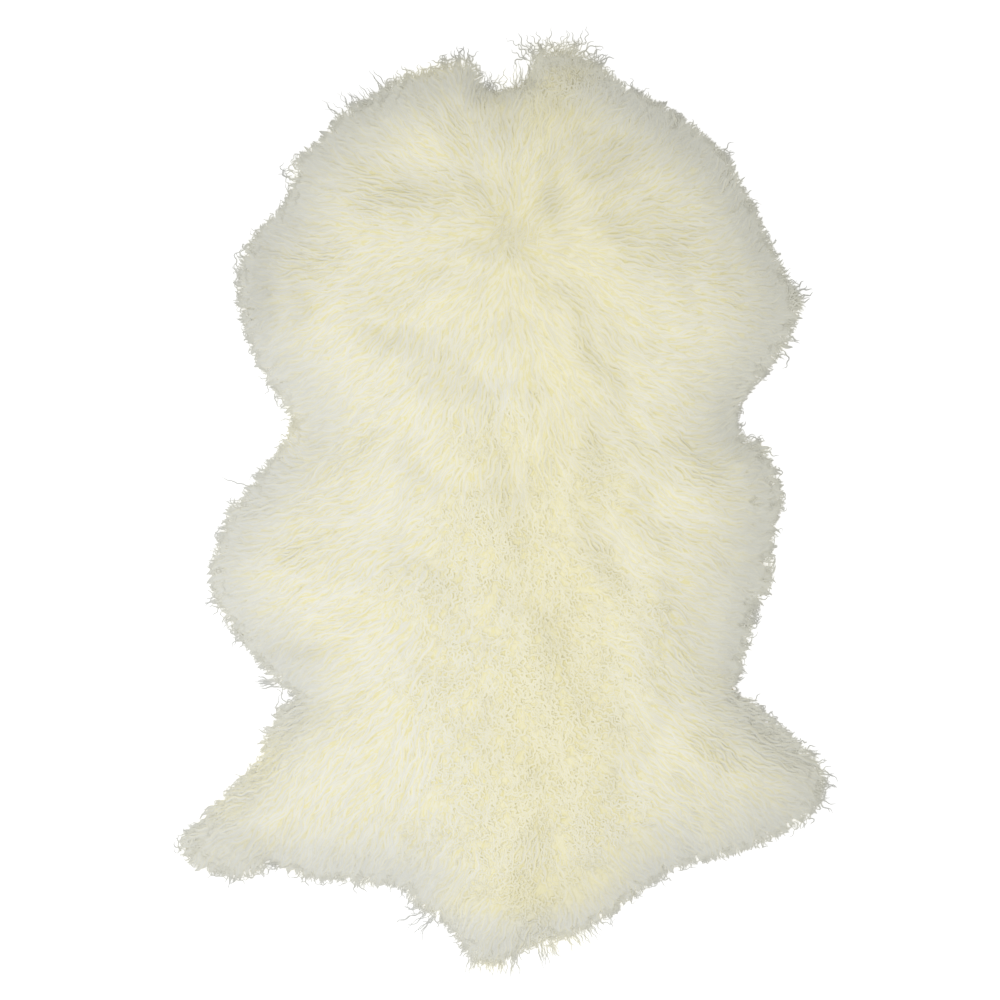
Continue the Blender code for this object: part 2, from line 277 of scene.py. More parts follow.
HAIR = Coat.FLYAWAY
LOCK = Coat.FLANK
TUFTS = (
    Tuft("right lobe, crown", 51, 448, HAIR, 62, 8, 88, 14, 70, 32, 25, 1.1),
    Tuft("right lobe, left curls", 27, 445, HAIR, 18, 6, 112, 14, 90, 13, 18, 1.2),
    Tuft("right lobe, right curls", 86, 440, HAIR, 22, 5, 60, 16, 110, 11, 19, 1.2),
    Tuft("neck notch, curls", -6, 408, HAIR, 36, 8, 90, 8, 70, 18, 27, 0.8),
    Tuft("neck notch, hairs", 15, 412, HAIR, 18, 8, 90, 4, 14, 12, 28, 0.7),
    Tuft("neck notch, left curls", -22, 412, HAIR, 10, 4, 88, 12, 150, 7, 10, 1.2),
    Tuft("left lobe, tip", -42, 441, HAIR, 15, 6, 94, 12, 100, 14, 17, 1.1),
    Tuft("left lobe, second tip", -64, 433, HAIR, 15, 6, 104, 16, 120, 14, 17, 1.2),
    Tuft("left lobe, third tip", -82, 424, HAIR, 10, 5, 112, 14, 120, 9, 15, 1.2),
    Tuft("left lobe, upper edge", -110, 414, HAIR, 40, 5, 122, 10, 90, 14, 15, 1.1),
    Tuft("left neck, combed hairs", -126, 398, HAIR, 34, 8, 136, 5, 14, 14, 28, 0.9),
    Tuft("left neck, long hairs", -150, 384, HAIR, 20, 6, 120, 8, 24, 9, 36, 0.9),
    Tuft("left waist, upper hair", -250, 14, HAIR, 2, 2, 172, 2, 26, 1, 34, 1.1),
    Tuft("left waist, lower hair", -250, 4, HAIR, 2, 2, 178, 2, 30, 1, 30, 1.0),
    Tuft("left belly, tip", -282, -100, HAIR, 12, 5, 198, 10, 24, 7, 18, 1.5),
    Tuft("left belly, rings", -268, -122, HAIR, 14, 4, 190, 20, 220, 5, 20, 1.4),
    Tuft("left flank, point", -228, -181, HAIR, 8, 5, 190, 5, 20, 8, 20, 1.8),
    Tuft("left flank notch, hooks", -210, -186, HAIR, 8, 4, 196, 16, 120, 5, 16, 1.3),
    Tuft("left leg, small point", -220, -208, HAIR, 8, 4, 200, 10, 30, 6, 14, 1.5),
    Tuft("left leg, point", -228, -231, HAIR, 10, 5, 187, 10, 16, 9, 22, 1.8),
    Tuft("left leg, tip wisps", -302, -336, HAIR, 20, 6, 202, 16, 50, 16, 20, 1.2),
    Tuft("left leg, tip curls", -300, -352, HAIR, 20, 5, 212, 16, 130, 9, 17, 1.4),
    Tuft("left leg, under curls", -276, -368, HAIR, 24, 5, 238, 16, 120, 9, 20, 1.4),
    Tuft("tail, wisps", -76, -410, HAIR, 18, 8, 208, 8, 20, 11, 31, 1.0),
    Tuft("tail, tip hairs", -14, -455, HAIR, 54, 6, 264, 8, 14, 38, 17, 0.8),
    Tuft("tail, fine hairs", 60, -430, HAIR, 68, 8, 296, 8, 14, 44, 19, 0.8),
    Tuft("tail, hook", 111, -398, HAIR, 7, 4, 310, 10, 120, 3, 16, 1.2),
    Tuft("right leg, wisps", 308, -284, HAIR, 30, 8, -10, 10, 40, 18, 22, 1.1),
    Tuft("right flank notch, hooks", 222, -178, HAIR, 12, 4, -24, 10, 50, 8, 17, 1.2),
    Tuft("right belly, curls", 240, -108, HAIR, 28, 4, -8, 14, 150, 9, 16, 1.3),
    Tuft("right waist, curls", 242, 2, HAIR, 14, 4, 2, 14, 130, 5, 16, 1.2),
    Tuft("right shoulder, point", 278, 200, HAIR, 16, 6, 8, 8, 34, 12, 26, 1.8),
    Tuft("over the whorl", 12, 282, LOCK, 40, 24, 238, 14, 36, 42, 32, 2.7),
    Tuft("under the whorl", -2, 254, LOCK, 30, 16, 284, 30, 40, 18, 30, 3.0),
    Tuft("pale ridge", 28, 352, LOCK, 12, 10, 84, 3, 8, 10, 44, 3.8),
    Tuft("combed patch", -64, 318, LOCK, 24, 14, 160, 4, 10, 15, 46, 4.2),
)


@dataclass(frozen=True)
class Patch(OvalSpot):
    """A place where the wool's colour differs: how much yellower it is, and how much darker with painted
    shade, or lighter below 0, where it takes off the painted shade of the edge and the wisps."""

    yellow: float
    shade: float


# Painted shade darkens the wool where a patch's shade is above 0; below 0 it takes off the painted shade of
# the edge and the wisps
PATCHES = (
    Patch("neck, right lobe", 38, 392, 32, 28, 0.9, 0.2),
    Patch("neck, top of the right lobe", 68, 428, 26, 12, 0.8, 0.1),
    Patch("neck, middle", -12, 394, 18, 20, 0.8, 0.1),
    Patch("tail, right half", 66, -390, 46, 26, 0.9, 0.0),
    Patch("tail, left half", -46, -398, 26, 18, 0.8, 0.0),
    Patch("tail, middle", 14, -396, 26, 22, 0.6, 0.0),
    Patch("tail, right end", 106, -370, 26, 16, 0.6, 0.0),
    Patch("middle of the back", -4, 112, 28, 38, -0.8, 0.0),
    Patch("right of the back", 60, 153, 14, 22, 0.5, 0.0),
    Patch("right leg, inner side", 140, -346, 26, 14, 0.5, 0.0),
    Patch("right leg", 206, -330, 18, 14, 0.5, 0.0),
    Patch("right flank, lower", 211, -179, 16, 18, 0.5, 0.0),
    Patch("left of the back", -20, -130, 40, 60, -0.4, 0.0),
    Patch("lower back, left", -60, -260, 30, 60, -0.4, 0.0),
    Patch("left flank", -150, -95, 50, 30, -0.3, 0.0),
    Patch("left belly", -234, -76, 28, 22, -0.4, 0.0),
    Patch("left leg, tip", -307, -350, 22, 22, -0.4, 0.0),
    Patch("left shoulder, edge", -242, 208, 20, 44, 0.0, 0.9),
    Patch("left shoulder, inner side", -204, 196, 14, 28, 0.0, 0.7),
    Patch("right of the ridge", 45, 325, 9, 36, 0.0, 0.6),
    Patch("right of the ridge, top", 44, 392, 16, 10, 0.0, 0.4),
    Patch("right of the whorl", 45, 290, 12, 16, 0.0, 0.5),
    Patch("right neck", 120, 345, 24, 18, 0.0, 0.5),
    Patch("right of the whorl, lower", 56, 256, 12, 14, 0.0, 0.4),
    Patch("left leg, lower side", -262, -336, 30, 16, 0.0, 0.6),
    Patch("left flank, lower edge", -206, -150, 36, 14, 0.0, 0.5),
    Patch("right rump", 175, -277, 20, 18, 0.0, 0.5),
    Patch("left waist", -211, 68, 20, 28, 0.0, -0.7),
    Patch("left leg, upper side", -236, -262, 36, 34, 0.0, -0.8),
    Patch("left leg, outer side", -278, -306, 26, 22, 0.0, -0.5),
    Patch("tail, fine hairs", 62, -444, 44, 14, 0.0, -0.8),
    Patch("tail, tip", -14, -466, 34, 9, 0.0, -0.7),
    Patch("neck notch", 4, 426, 17, 14, 0.0, -0.6),
    Patch("neck, crown of the right lobe", 50, 456, 44, 13, 0.0, -0.5),
    Patch("left lobe, upper edge", -76, 432, 34, 13, 0.0, -0.7),
)


@dataclass(frozen=True)
class CurlyPatch(OvalSpot):
    """A stretch of curly wool, and how curly its middle is."""

    curl: float


CURLY_PATCHES = (
    CurlyPatch("lower back", 19, -165, 125, 265, 1.35),
    CurlyPatch("neck, right lobe", 52, 412, 72, 40, 1.25),
)


def smooth_step(share: np.ndarray) -> np.ndarray:
    """Rises from 0 to 1 with level ends."""
    share = np.clip(share, 0.0, 1.0)
    return share * share * (3 - 2 * share)


def unit(vectors: np.ndarray) -> np.ndarray:
    """Vectors of length 1, the same way."""
    return vectors / np.maximum(np.linalg.norm(vectors, axis=-1, keepdims=True), 1e-9)


def turned(vectors: np.ndarray, angles: np.ndarray) -> np.ndarray:
    """Turns level vectors.

    Args:
        vectors: the vectors.
        angles: how far to turn each anticlockwise, in radians.

    Returns:
        The turned vectors.
    """
    cos, sin = np.cos(angles), np.sin(angles)
    return np.stack([vectors[..., 0] * cos - vectors[..., 1] * sin,
                     vectors[..., 0] * sin + vectors[..., 1] * cos], axis=-1)


def uneven(places: np.ndarray, per_metre: float, seed: float) -> np.ndarray:
    """Smooth noise at level points.

    Args:
        places: the points, an array that ends in x and y.
        per_metre: how many times it rises and falls in a metre.
        seed: the pattern's own number.

    Returns:
        A value from about -1 to 1 for each point.
    """
    flat = places.reshape(-1, 2)
    values = [noise.noise((x * per_metre, y * per_metre, seed)) for x, y in flat]
    return np.array(values).reshape(places.shape[:-1])


@dataclass
class Chart:
    """Values on an even grid over the pelt, read anywhere between the grid's points."""

    low: np.ndarray
    pitch: float
    values: np.ndarray

    def at(self, places: np.ndarray) -> np.ndarray:
        """Reads the chart.

        Args:
            places: level points, an array that ends in x and y.

        Returns:
            The values there, blended between the four nearest points of the grid.
        """
        columns, rows = self.values.shape[:2]
        spot = (places - self.low) / self.pitch
        x = np.clip(spot[..., 0], 0, columns - 1.001)
        y = np.clip(spot[..., 1], 0, rows - 1.001)
        i, j = x.astype(int), y.astype(int)
        fx, fy = x - i, y - j
        if self.values.ndim == 3:
            fx, fy = fx[..., None], fy[..., None]
        v = self.values
        return ((v[i, j] * (1 - fx) + v[i + 1, j] * fx) * (1 - fy)
                + (v[i, j + 1] * (1 - fx) + v[i + 1, j + 1] * fx) * fy)


def softened(values: np.ndarray, rounds: int) -> np.ndarray:
    """Evens out a chart's values.

    Args:
        values: the values on the chart's grid.
        rounds: how many times each is averaged with its four neighbours.

    Returns:
        The values, evened out.
    """
    for _ in range(rounds):
        edged = np.pad(values, [(1, 1), (1, 1)] + [(0, 0)] * (values.ndim - 2), mode="edge")
        values = (2 * values + edged[:-2, 1:-1] + edged[2:, 1:-1] + edged[1:-1, :-2] + edged[1:-1, 2:]) / 6
    return values


@dataclass
class PeltForm:
    """The pelt's shape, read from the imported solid."""

    solid: bpy.types.Object
    pitch: float = 3.0 * MM
    margin: float = 45.0 * MM
    lying: float = 1.6 * MM
    inside_wall: float = 4.0 * MM
    fall_fullness: float = 0.85
    fall: float = 90.0 * MM
    whorl_x: float = 4.0 * MM
    whorl_y: float = 267.0 * MM
    rump_y: float = -90.0 * MM
    edge_band: float = 62.0 * MM
    edge_pull: float = 0.8
    edge_points: int = 1440
    above: float = 200.0 * MM
    lick_strength: float = 1.6
    broad_wander: float = 0.42
    fine_wander: float = 0.5
    curly_wander: float = 1.6
    edge_calm: float = 0.4
    rim: np.ndarray = field(init=False)
    skin: np.ndarray = field(init=False)
    height: Chart = field(init=False)
    depth: Chart = field(init=False)
    lie: Chart = field(init=False)
    curl: Chart = field(init=False)
    facing: Chart = field(init=False)

    def __post_init__(self) -> None:
        """Reads the outlines, then charts the depth inside the edge, the height and the lie."""
        self.rim, self.skin = self._outlines()
        low = np.array([CAD_BOX[0].x, CAD_BOX[0].y]) - self.margin
        high = np.array([CAD_BOX[1].x, CAD_BOX[1].y]) + self.margin
        counts = ((high - low) / self.pitch).astype(int) + 1
        axes = [low[k] + self.pitch * np.arange(counts[k]) for k in (0, 1)]
        grid = np.stack(np.meshgrid(*axes, indexing="ij"), axis=-1)
        self.depth = Chart(low, self.pitch, self._depths(grid))
        self.height = Chart(low, self.pitch, softened(self._heights(grid), 2))
        slopes = np.stack(np.gradient(softened(self.height.values, 12), self.pitch), axis=-1)
        self.facing = Chart(low, self.pitch, unit(np.append(-slopes, np.ones((*counts, 1)), axis=-1)))
        self.curl = Chart(low, self.pitch, self._curliness(grid))
        self.lie = Chart(low, self.pitch, unit(softened(self._lies(grid), 2)))

    def _outlines(self) -> tuple[np.ndarray, np.ndarray]:
        """The wall of the pile and the edge of the skin.

        Returns:
            Two arrays of bearing and reach round the middle of the back, in the order of bearing.
        """
        spots = [(round(v.co.x, 5), round(v.co.y, 5), v.co.z) for v in self.solid.data.vertices]
        down = {(x, y) for x, y, z in spots if z < 0.1 * MM}
        level = {(x, y) for x, y, z in spots if abs(z - SKIN_TOP) < 0.02 * MM}
        return self._in_order(level - down), self._in_order(level & down)

    @staticmethod
    def _in_order(places: set[tuple[float, float]]) -> np.ndarray:
        """Puts level points in order round the middle of the back.

        Args:
            places: the points.

        Returns:
            Their bearing and reach, by bearing.
        """
        rel = np.array(sorted(places)) - BACK
        polar = np.stack([np.arctan2(rel[:, 1], rel[:, 0]), np.hypot(rel[:, 0], rel[:, 1])], axis=1)
        return polar[np.argsort(polar[:, 0])]

    @staticmethod
    def reach(outline: np.ndarray, bearings: np.ndarray) -> np.ndarray:
        """An outline's reach at some bearings, in radians."""
        return np.interp(bearings, outline[:, 0], outline[:, 1], period=2 * math.pi)

    def edge_places(self, bearings: np.ndarray, outset: float) -> np.ndarray:
        """Points at some bearings, this far outside the wall of the pile."""
        reach = self.reach(self.rim, bearings) + outset
        return BACK + reach[:, None] * np.stack([np.cos(bearings), np.sin(bearings)], axis=1)

    def _depths(self, grid: np.ndarray) -> np.ndarray:
        """Measures how deep in the dense wool points are.

        Args:
            grid: the chart's points.

        Returns:
            How deep inside the edge each is, below 0 outside.
        """
        bearings = np.linspace(-math.pi, math.pi, self.edge_points, endpoint=False)
        edge = self.edge_places(bearings, OVERHANG)
        tree = KDTree(len(edge))
        for i, (x, y) in enumerate(edge):
            tree.insert((x, y, 0.0), i)
        tree.balance()
        rel = grid - BACK
        within = np.hypot(rel[..., 0], rel[..., 1]) < self.reach(
            self.rim, np.arctan2(rel[..., 1], rel[..., 0])) + OVERHANG
        away = np.array([tree.find((x, y, 0.0))[2] for x, y in grid.reshape(-1, 2)])
        depth = np.where(within, 1, -1) * away.reshape(within.shape) - EDGE_TRIM
        for shift in EDGE_SHIFTS:
            depth += shift.shift_mm * MM * shift.near(grid)
        return depth

    def _heights(self, grid: np.ndarray) -> np.ndarray:
        """Measures how high the wool stands.

        Args:
            grid: the chart's points.

        Returns:
            The solid's top at each point, and near the wool's edge a slope down to the floor.
        """
        solid = bmesh.new()
        solid.from_mesh(self.solid.data)
        tree = BVHTree.FromBMesh(solid)
        solid.free()
        down = Vector((0, 0, -1))

        def top(x: float, y: float) -> float:
            """The height of the solid's top, or 0 beside it."""
            hit = tree.ray_cast(Vector((x, y, self.above)), down)[0]
            return hit.z if hit else 0.0

        rel = grid - BACK
        reach = np.hypot(rel[..., 0], rel[..., 1])
        bearings = np.arctan2(rel[..., 1], rel[..., 0])
        wall = self.reach(self.rim, bearings)
        inner = BACK + (wall - self.inside_wall)[..., None] * unit(rel)
        heights = np.empty(reach.shape)
        for index in np.ndindex(reach.shape):
            x, y = grid[index] if reach[index] < wall[index] - self.inside_wall else inner[index]
            heights[index] = top(x, y)
        standing = np.clip(self.depth.values / FALL_WIDTH, 0.0, 1.0) ** self.fall_fullness
        return self.lying + (heights - self.lying) * standing

    def _curliness(self, grid: np.ndarray) -> np.ndarray:
        """Measures how curly the wool is.

        Args:
            grid: the chart's points.

        Returns:
            1 in the middle of the curly patches, and 0 on the flanks.
        """
        aways = [row.offset(grid) for row in CURLY_PATCHES]
        curls = [row.curl - np.hypot(away[..., 0], away[..., 1]) for row, away in zip(CURLY_PATCHES, aways)]
        return smooth_step(np.max(curls, axis=0) + 0.5 * uneven(grid, per_metre=18, seed=2.0))

    def _lies(self, grid: np.ndarray) -> np.ndarray:
        """Works out which way the wool lies.

        Args:
            grid: the chart's points.

        Returns:
            A level vector of length 1 for each point.
        """
        source = np.clip(grid[..., 1] + self.fall, self.rump_y, self.whorl_y)
        lies = unit(np.stack([grid[..., 0] - self.whorl_x, grid[..., 1] - source], axis=-1))
        outward = -unit(np.stack(np.gradient(softened(self.depth.values, 6)), axis=-1))
        pull = self.edge_pull * smooth_step(1 - self.depth.values / self.edge_band)[..., None]
        lies = unit(lies * (1 - pull) + outward * pull)
        for lick in COWLICKS:
            weight = self.lick_strength * lick.near(grid)[..., None]
            angle = math.radians(lick.lie_deg)
            lies = unit(lies + weight * np.array([math.cos(angle), math.sin(angle)]))
        wild = 1 + self.curly_wander * self.curl.values
        broad = self.broad_wander * uneven(grid, per_metre=16, seed=9.0)
        fine = self.fine_wander * uneven(grid, per_metre=55, seed=4.0) * wild
        return turned(lies, (broad + fine) * (1 - self.edge_calm * pull[..., 0]))


@dataclass(frozen=True)
class LockShape:
    """One kind of lock: its number of steps, sizes, crimp and how it lies."""

    coat: Coat
    steps: int
    length_mm: tuple[float, float]
    width_mm: tuple[float, float]
    crimp_mm: tuple[float, float]
    swing_mm: tuple[float, float]
    bend_deg: float
    sunk_mm: float
    loft_mm: tuple[float, float]
    clump: float
    guide_share: float

    def template(self) -> tuple[np.ndarray, list[list[int]]]:
        """A straight lock of 3 sides along +Z, one step a unit, closed, with a pointed end.

        Returns:
            Its vertices, each as its side, its height and its step, and its faces.
        """
        bm = bmesh.new()
        bmesh.ops.create_circle(bm, cap_ends=True, segments=3, radius=1.0)
        tip = bm.faces[:][0]
        for step in range(1, self.steps + 1):
            tip = bmesh.ops.extrude_discrete_faces(bm, faces=[tip])["faces"][0]
            for vertex in tip.verts:
                vertex.co.z = float(step)
        bmesh.ops.pointmerge(bm, verts=list(tip.verts), merge_co=(0.0, 0.0, float(self.steps)))
        bmesh.ops.holes_fill(bm, edges=[e for e in bm.edges if e.is_boundary], sides=3)
        bmesh.ops.recalc_face_normals(bm, faces=bm.faces)
        bm.verts.index_update()
        verts = np.array([v.co[:] for v in bm.verts])
        faces = [[v.index for v in f.verts] for f in bm.faces]
        bm.free()
        return verts, faces


@dataclass
class Strands:
    """Locks that share a shape: their middle lines, widths and what their colour follows."""

    shape: LockShape
    lines: np.ndarray
    widths: np.ndarray
    lengths: np.ndarray
    tints: np.ndarray

    @classmethod
    def joined(cls, parts: list[Strands]) -> Strands:
        """Several lots of locks, with the same number of steps, as one."""
        lots = [(part.lines, part.widths, part.lengths, part.tints) for part in parts]
        return cls(parts[0].shape, *(np.concatenate(values) for values in zip(*lots)))

    def piece(self, name: str, form: PeltForm, finish: bpy.types.Material) -> bpy.types.Object:
        """Joins the locks into one piece.

        Args:
            name: the piece's name.
            form: the pelt's shape, from which the colour reads its place.
            finish: the wool's material.

        Returns:
            The piece, with its place in its mesh.
        """
        template, faces = self.shape.template()
        count, per_lock = len(self.lines), len(template)
        step = np.rint(template[:, 2]).astype(int)
        tangents = unit(np.gradient(self.lines, axis=1))
        sides = unit(np.stack([-tangents[..., 1], tangents[..., 0], 0 * tangents[..., 0]], axis=-1))
        ups = np.cross(tangents, sides)
        widths = self.widths[:, :, None] / math.sqrt(3)
        verts = (self.lines[:, step] + (widths * sides)[:, step] * template[None, :, 0:1]
                 + (LOCK_FLATNESS * widths * ups)[:, step] * template[None, :, 1:2])
        corners = np.concatenate([np.array(f) for f in faces])
        starts = np.cumsum([0] + [len(f) for f in faces[:-1]])
        mesh = bpy.data.meshes.new(name)
        mesh.vertices.add(count * per_lock)
        mesh.vertices.foreach_set("co", verts.astype(np.float32).ravel())
        mesh.loops.add(count * len(corners))
        loops = (corners[None, :] + per_lock * np.arange(count)[:, None]).ravel()
        mesh.loops.foreach_set("vertex_index", loops.astype(np.int32))
        mesh.polygons.add(count * len(faces))
        firsts = (starts[None, :] + len(corners) * np.arange(count)[:, None]).ravel()
        mesh.polygons.foreach_set("loop_start", firsts.astype(np.int32))
        mesh.update(calc_edges=True)
        mesh.shade_smooth()
        rounded = (sides[:, step] * template[None, :, 0:1] + ups[:, step] * template[None, :, 1:2])
        rounded = unit((1 - COAT_SHARE) * rounded + COAT_SHARE * form.facing.at(verts[..., :2]))
        mesh.normals_split_custom_set_from_vertices(rounded.reshape(-1, 3))
        along = np.broadcast_to(template[None, :, 2] / self.shape.steps, (count, per_lock))
        across = np.broadcast_to(template[None, :, 0] / math.sqrt(3) + 0.5, (count, per_lock))
        uv = np.stack([across + 3 * self.tints[:, None], along * self.lengths[:, None] / UV_LENGTH], axis=-1)
        layer = mesh.uv_layers.new(name="lock")
        layer.data.foreach_set("uv", uv.reshape(-1, 2)[loops].astype(np.float32).ravel())
        # Painted shade: a lock's two lower edges take the yellow of the deep wool
        flanks = np.broadcast_to(LOCK_EDGE_SHADE * (template[None, :, 1] < 0), (count, per_lock))
        tints = np.repeat(self.tints, per_lock)
        dress(mesh, form, verts.reshape(-1, 3), along.ravel(), tints, flanks.ravel())
        return placed(name, mesh, finish)


@dataclass(frozen=True)
class ColourPlaces:
    """Where on the pelt the wool's colour changes, and where it takes painted shade and painted light."""

    back_x: float = 45.0 * MM
    back_width: float = 95.0 * MM
    back_depth: float = 160.0 * MM
    # Painted light: towards the lower left, where the key light comes from, the wool turns less yellow, over
    # this width
    cool_way: tuple[float, float] = (0.8, 0.6)
    cool_width: float = 360.0 * MM
    # Painted shade: over how wide a band inside the edge of the pile the wool turns grey
    edge_shade_width: float = 75.0 * MM
    # Painted shade: where the dark grey of the thin wisps past the edge begins, and over how far it grows
    wisp_depth: float = 2.0 * MM
    wisp_width: float = 14.0 * MM
    shade_height: float = 0.3 * MM
    shade_width: float = 1.6 * MM
    # How far a patch's painted shade darkens the wool, and how far yellow patches take off the painted shade
    # of the edge and the wisps
    patch_shading: float = 3.0
    patch_lightness: float = 0.6
    patch_depth: float = 0.25


def placed(name: str, mesh: bpy.types.Mesh, finish: bpy.types.Material) -> bpy.types.Object:
    """Finishes a mesh and puts its object at the origin.

    Args:
        name: the object's name.
        mesh: its mesh.
        finish: its material.

    Returns:
        The object.
    """
    mesh.materials.append(finish)
    piece = bpy.data.objects.new(name, mesh)
    bpy.context.scene.collection.objects.link(piece)
    return piece


def dress(mesh: bpy.types.Mesh, form: PeltForm, verts: np.ndarray, along: np.ndarray, tints: np.ndarray,
          hidden: np.ndarray) -> None:
    """Gives each vertex what the wool's colour follows, painted shade and painted light among it.

    Args:
        mesh: the mesh.
        form: the pelt's shape.
        verts: the mesh's vertices.
        along: how far along its lock each vertex is, from 0 to 1.
        tints: each vertex's lock's own tint, from 0 to 1.
        hidden: how much painted shade each vertex takes for lying in the shade of the locks, from 0 to 1.
    """
    at = ColourPlaces()
    depth = form.depth.at(verts[:, :2])
    sunk = form.height.at(verts[:, :2]) - verts[:, 2]
    stripe = np.exp(-((verts[:, 0] - at.back_x) / at.back_width) ** 2)
    # Painted light: towards the lower left, the side the key light comes from, the wool is less yellow and
    # its painted edge and wisp shade lighter
    leftward = -(at.cool_way[0] * verts[:, 0] + at.cool_way[1] * verts[:, 1])
    yellow, shade = np.zeros(len(verts)), np.zeros(len(verts))
    for patch in PATCHES:
        near = np.exp(-(patch.offset(verts[:, :2]) ** 2).sum(axis=1))
        yellow += patch.yellow * near
        shade += patch.shade * near
    # What the patches take off the painted shade of the edge and the wisps
    bright = np.clip(at.patch_lightness * yellow, 0, 1) + np.clip(-shade, 0, 1)
    # Painted shade: wool that lies low in the pile, on a lock's lower edges and in the undercoat under the
    # locks takes the deep wool's yellow
    shaded = np.maximum(smooth_step((sunk + at.shade_height) / at.shade_width), hidden)
    values = {
        "along": along,
        # Each lock's own random tone, darkened by the patches' painted shade
        "tint": tints - at.patch_shading * np.clip(shade, 0, 1),
        # Painted shade: the wool turns grey towards the edge of the pile, less so in the yellow patches and
        # where the patches take it off
        "rim": smooth_step(1 - depth / at.edge_shade_width) * np.clip(1 - bright, 0, 1),
        # Painted shade: the thin wisps past the edge are dark grey, less so in the patches that take it off
        "wisp": smooth_step((at.wisp_depth - depth) / at.wisp_width) * np.clip(1 - bright, 0, 1),
        "warm": np.clip(stripe * smooth_step(depth / at.back_depth) + yellow, 0, 1),
        "cool": smooth_step(0.5 + leftward / at.cool_width),
        # sunk carries that painted shade, and the yellow patches' own yellow
        "sunk": np.clip(shaded + at.patch_depth * np.clip(yellow, 0, 1), 0, 1),
    }
    for name, value in values.items():
        mesh.attributes.new(name, "FLOAT", "POINT").data.foreach_set("value", value.astype(np.float32))


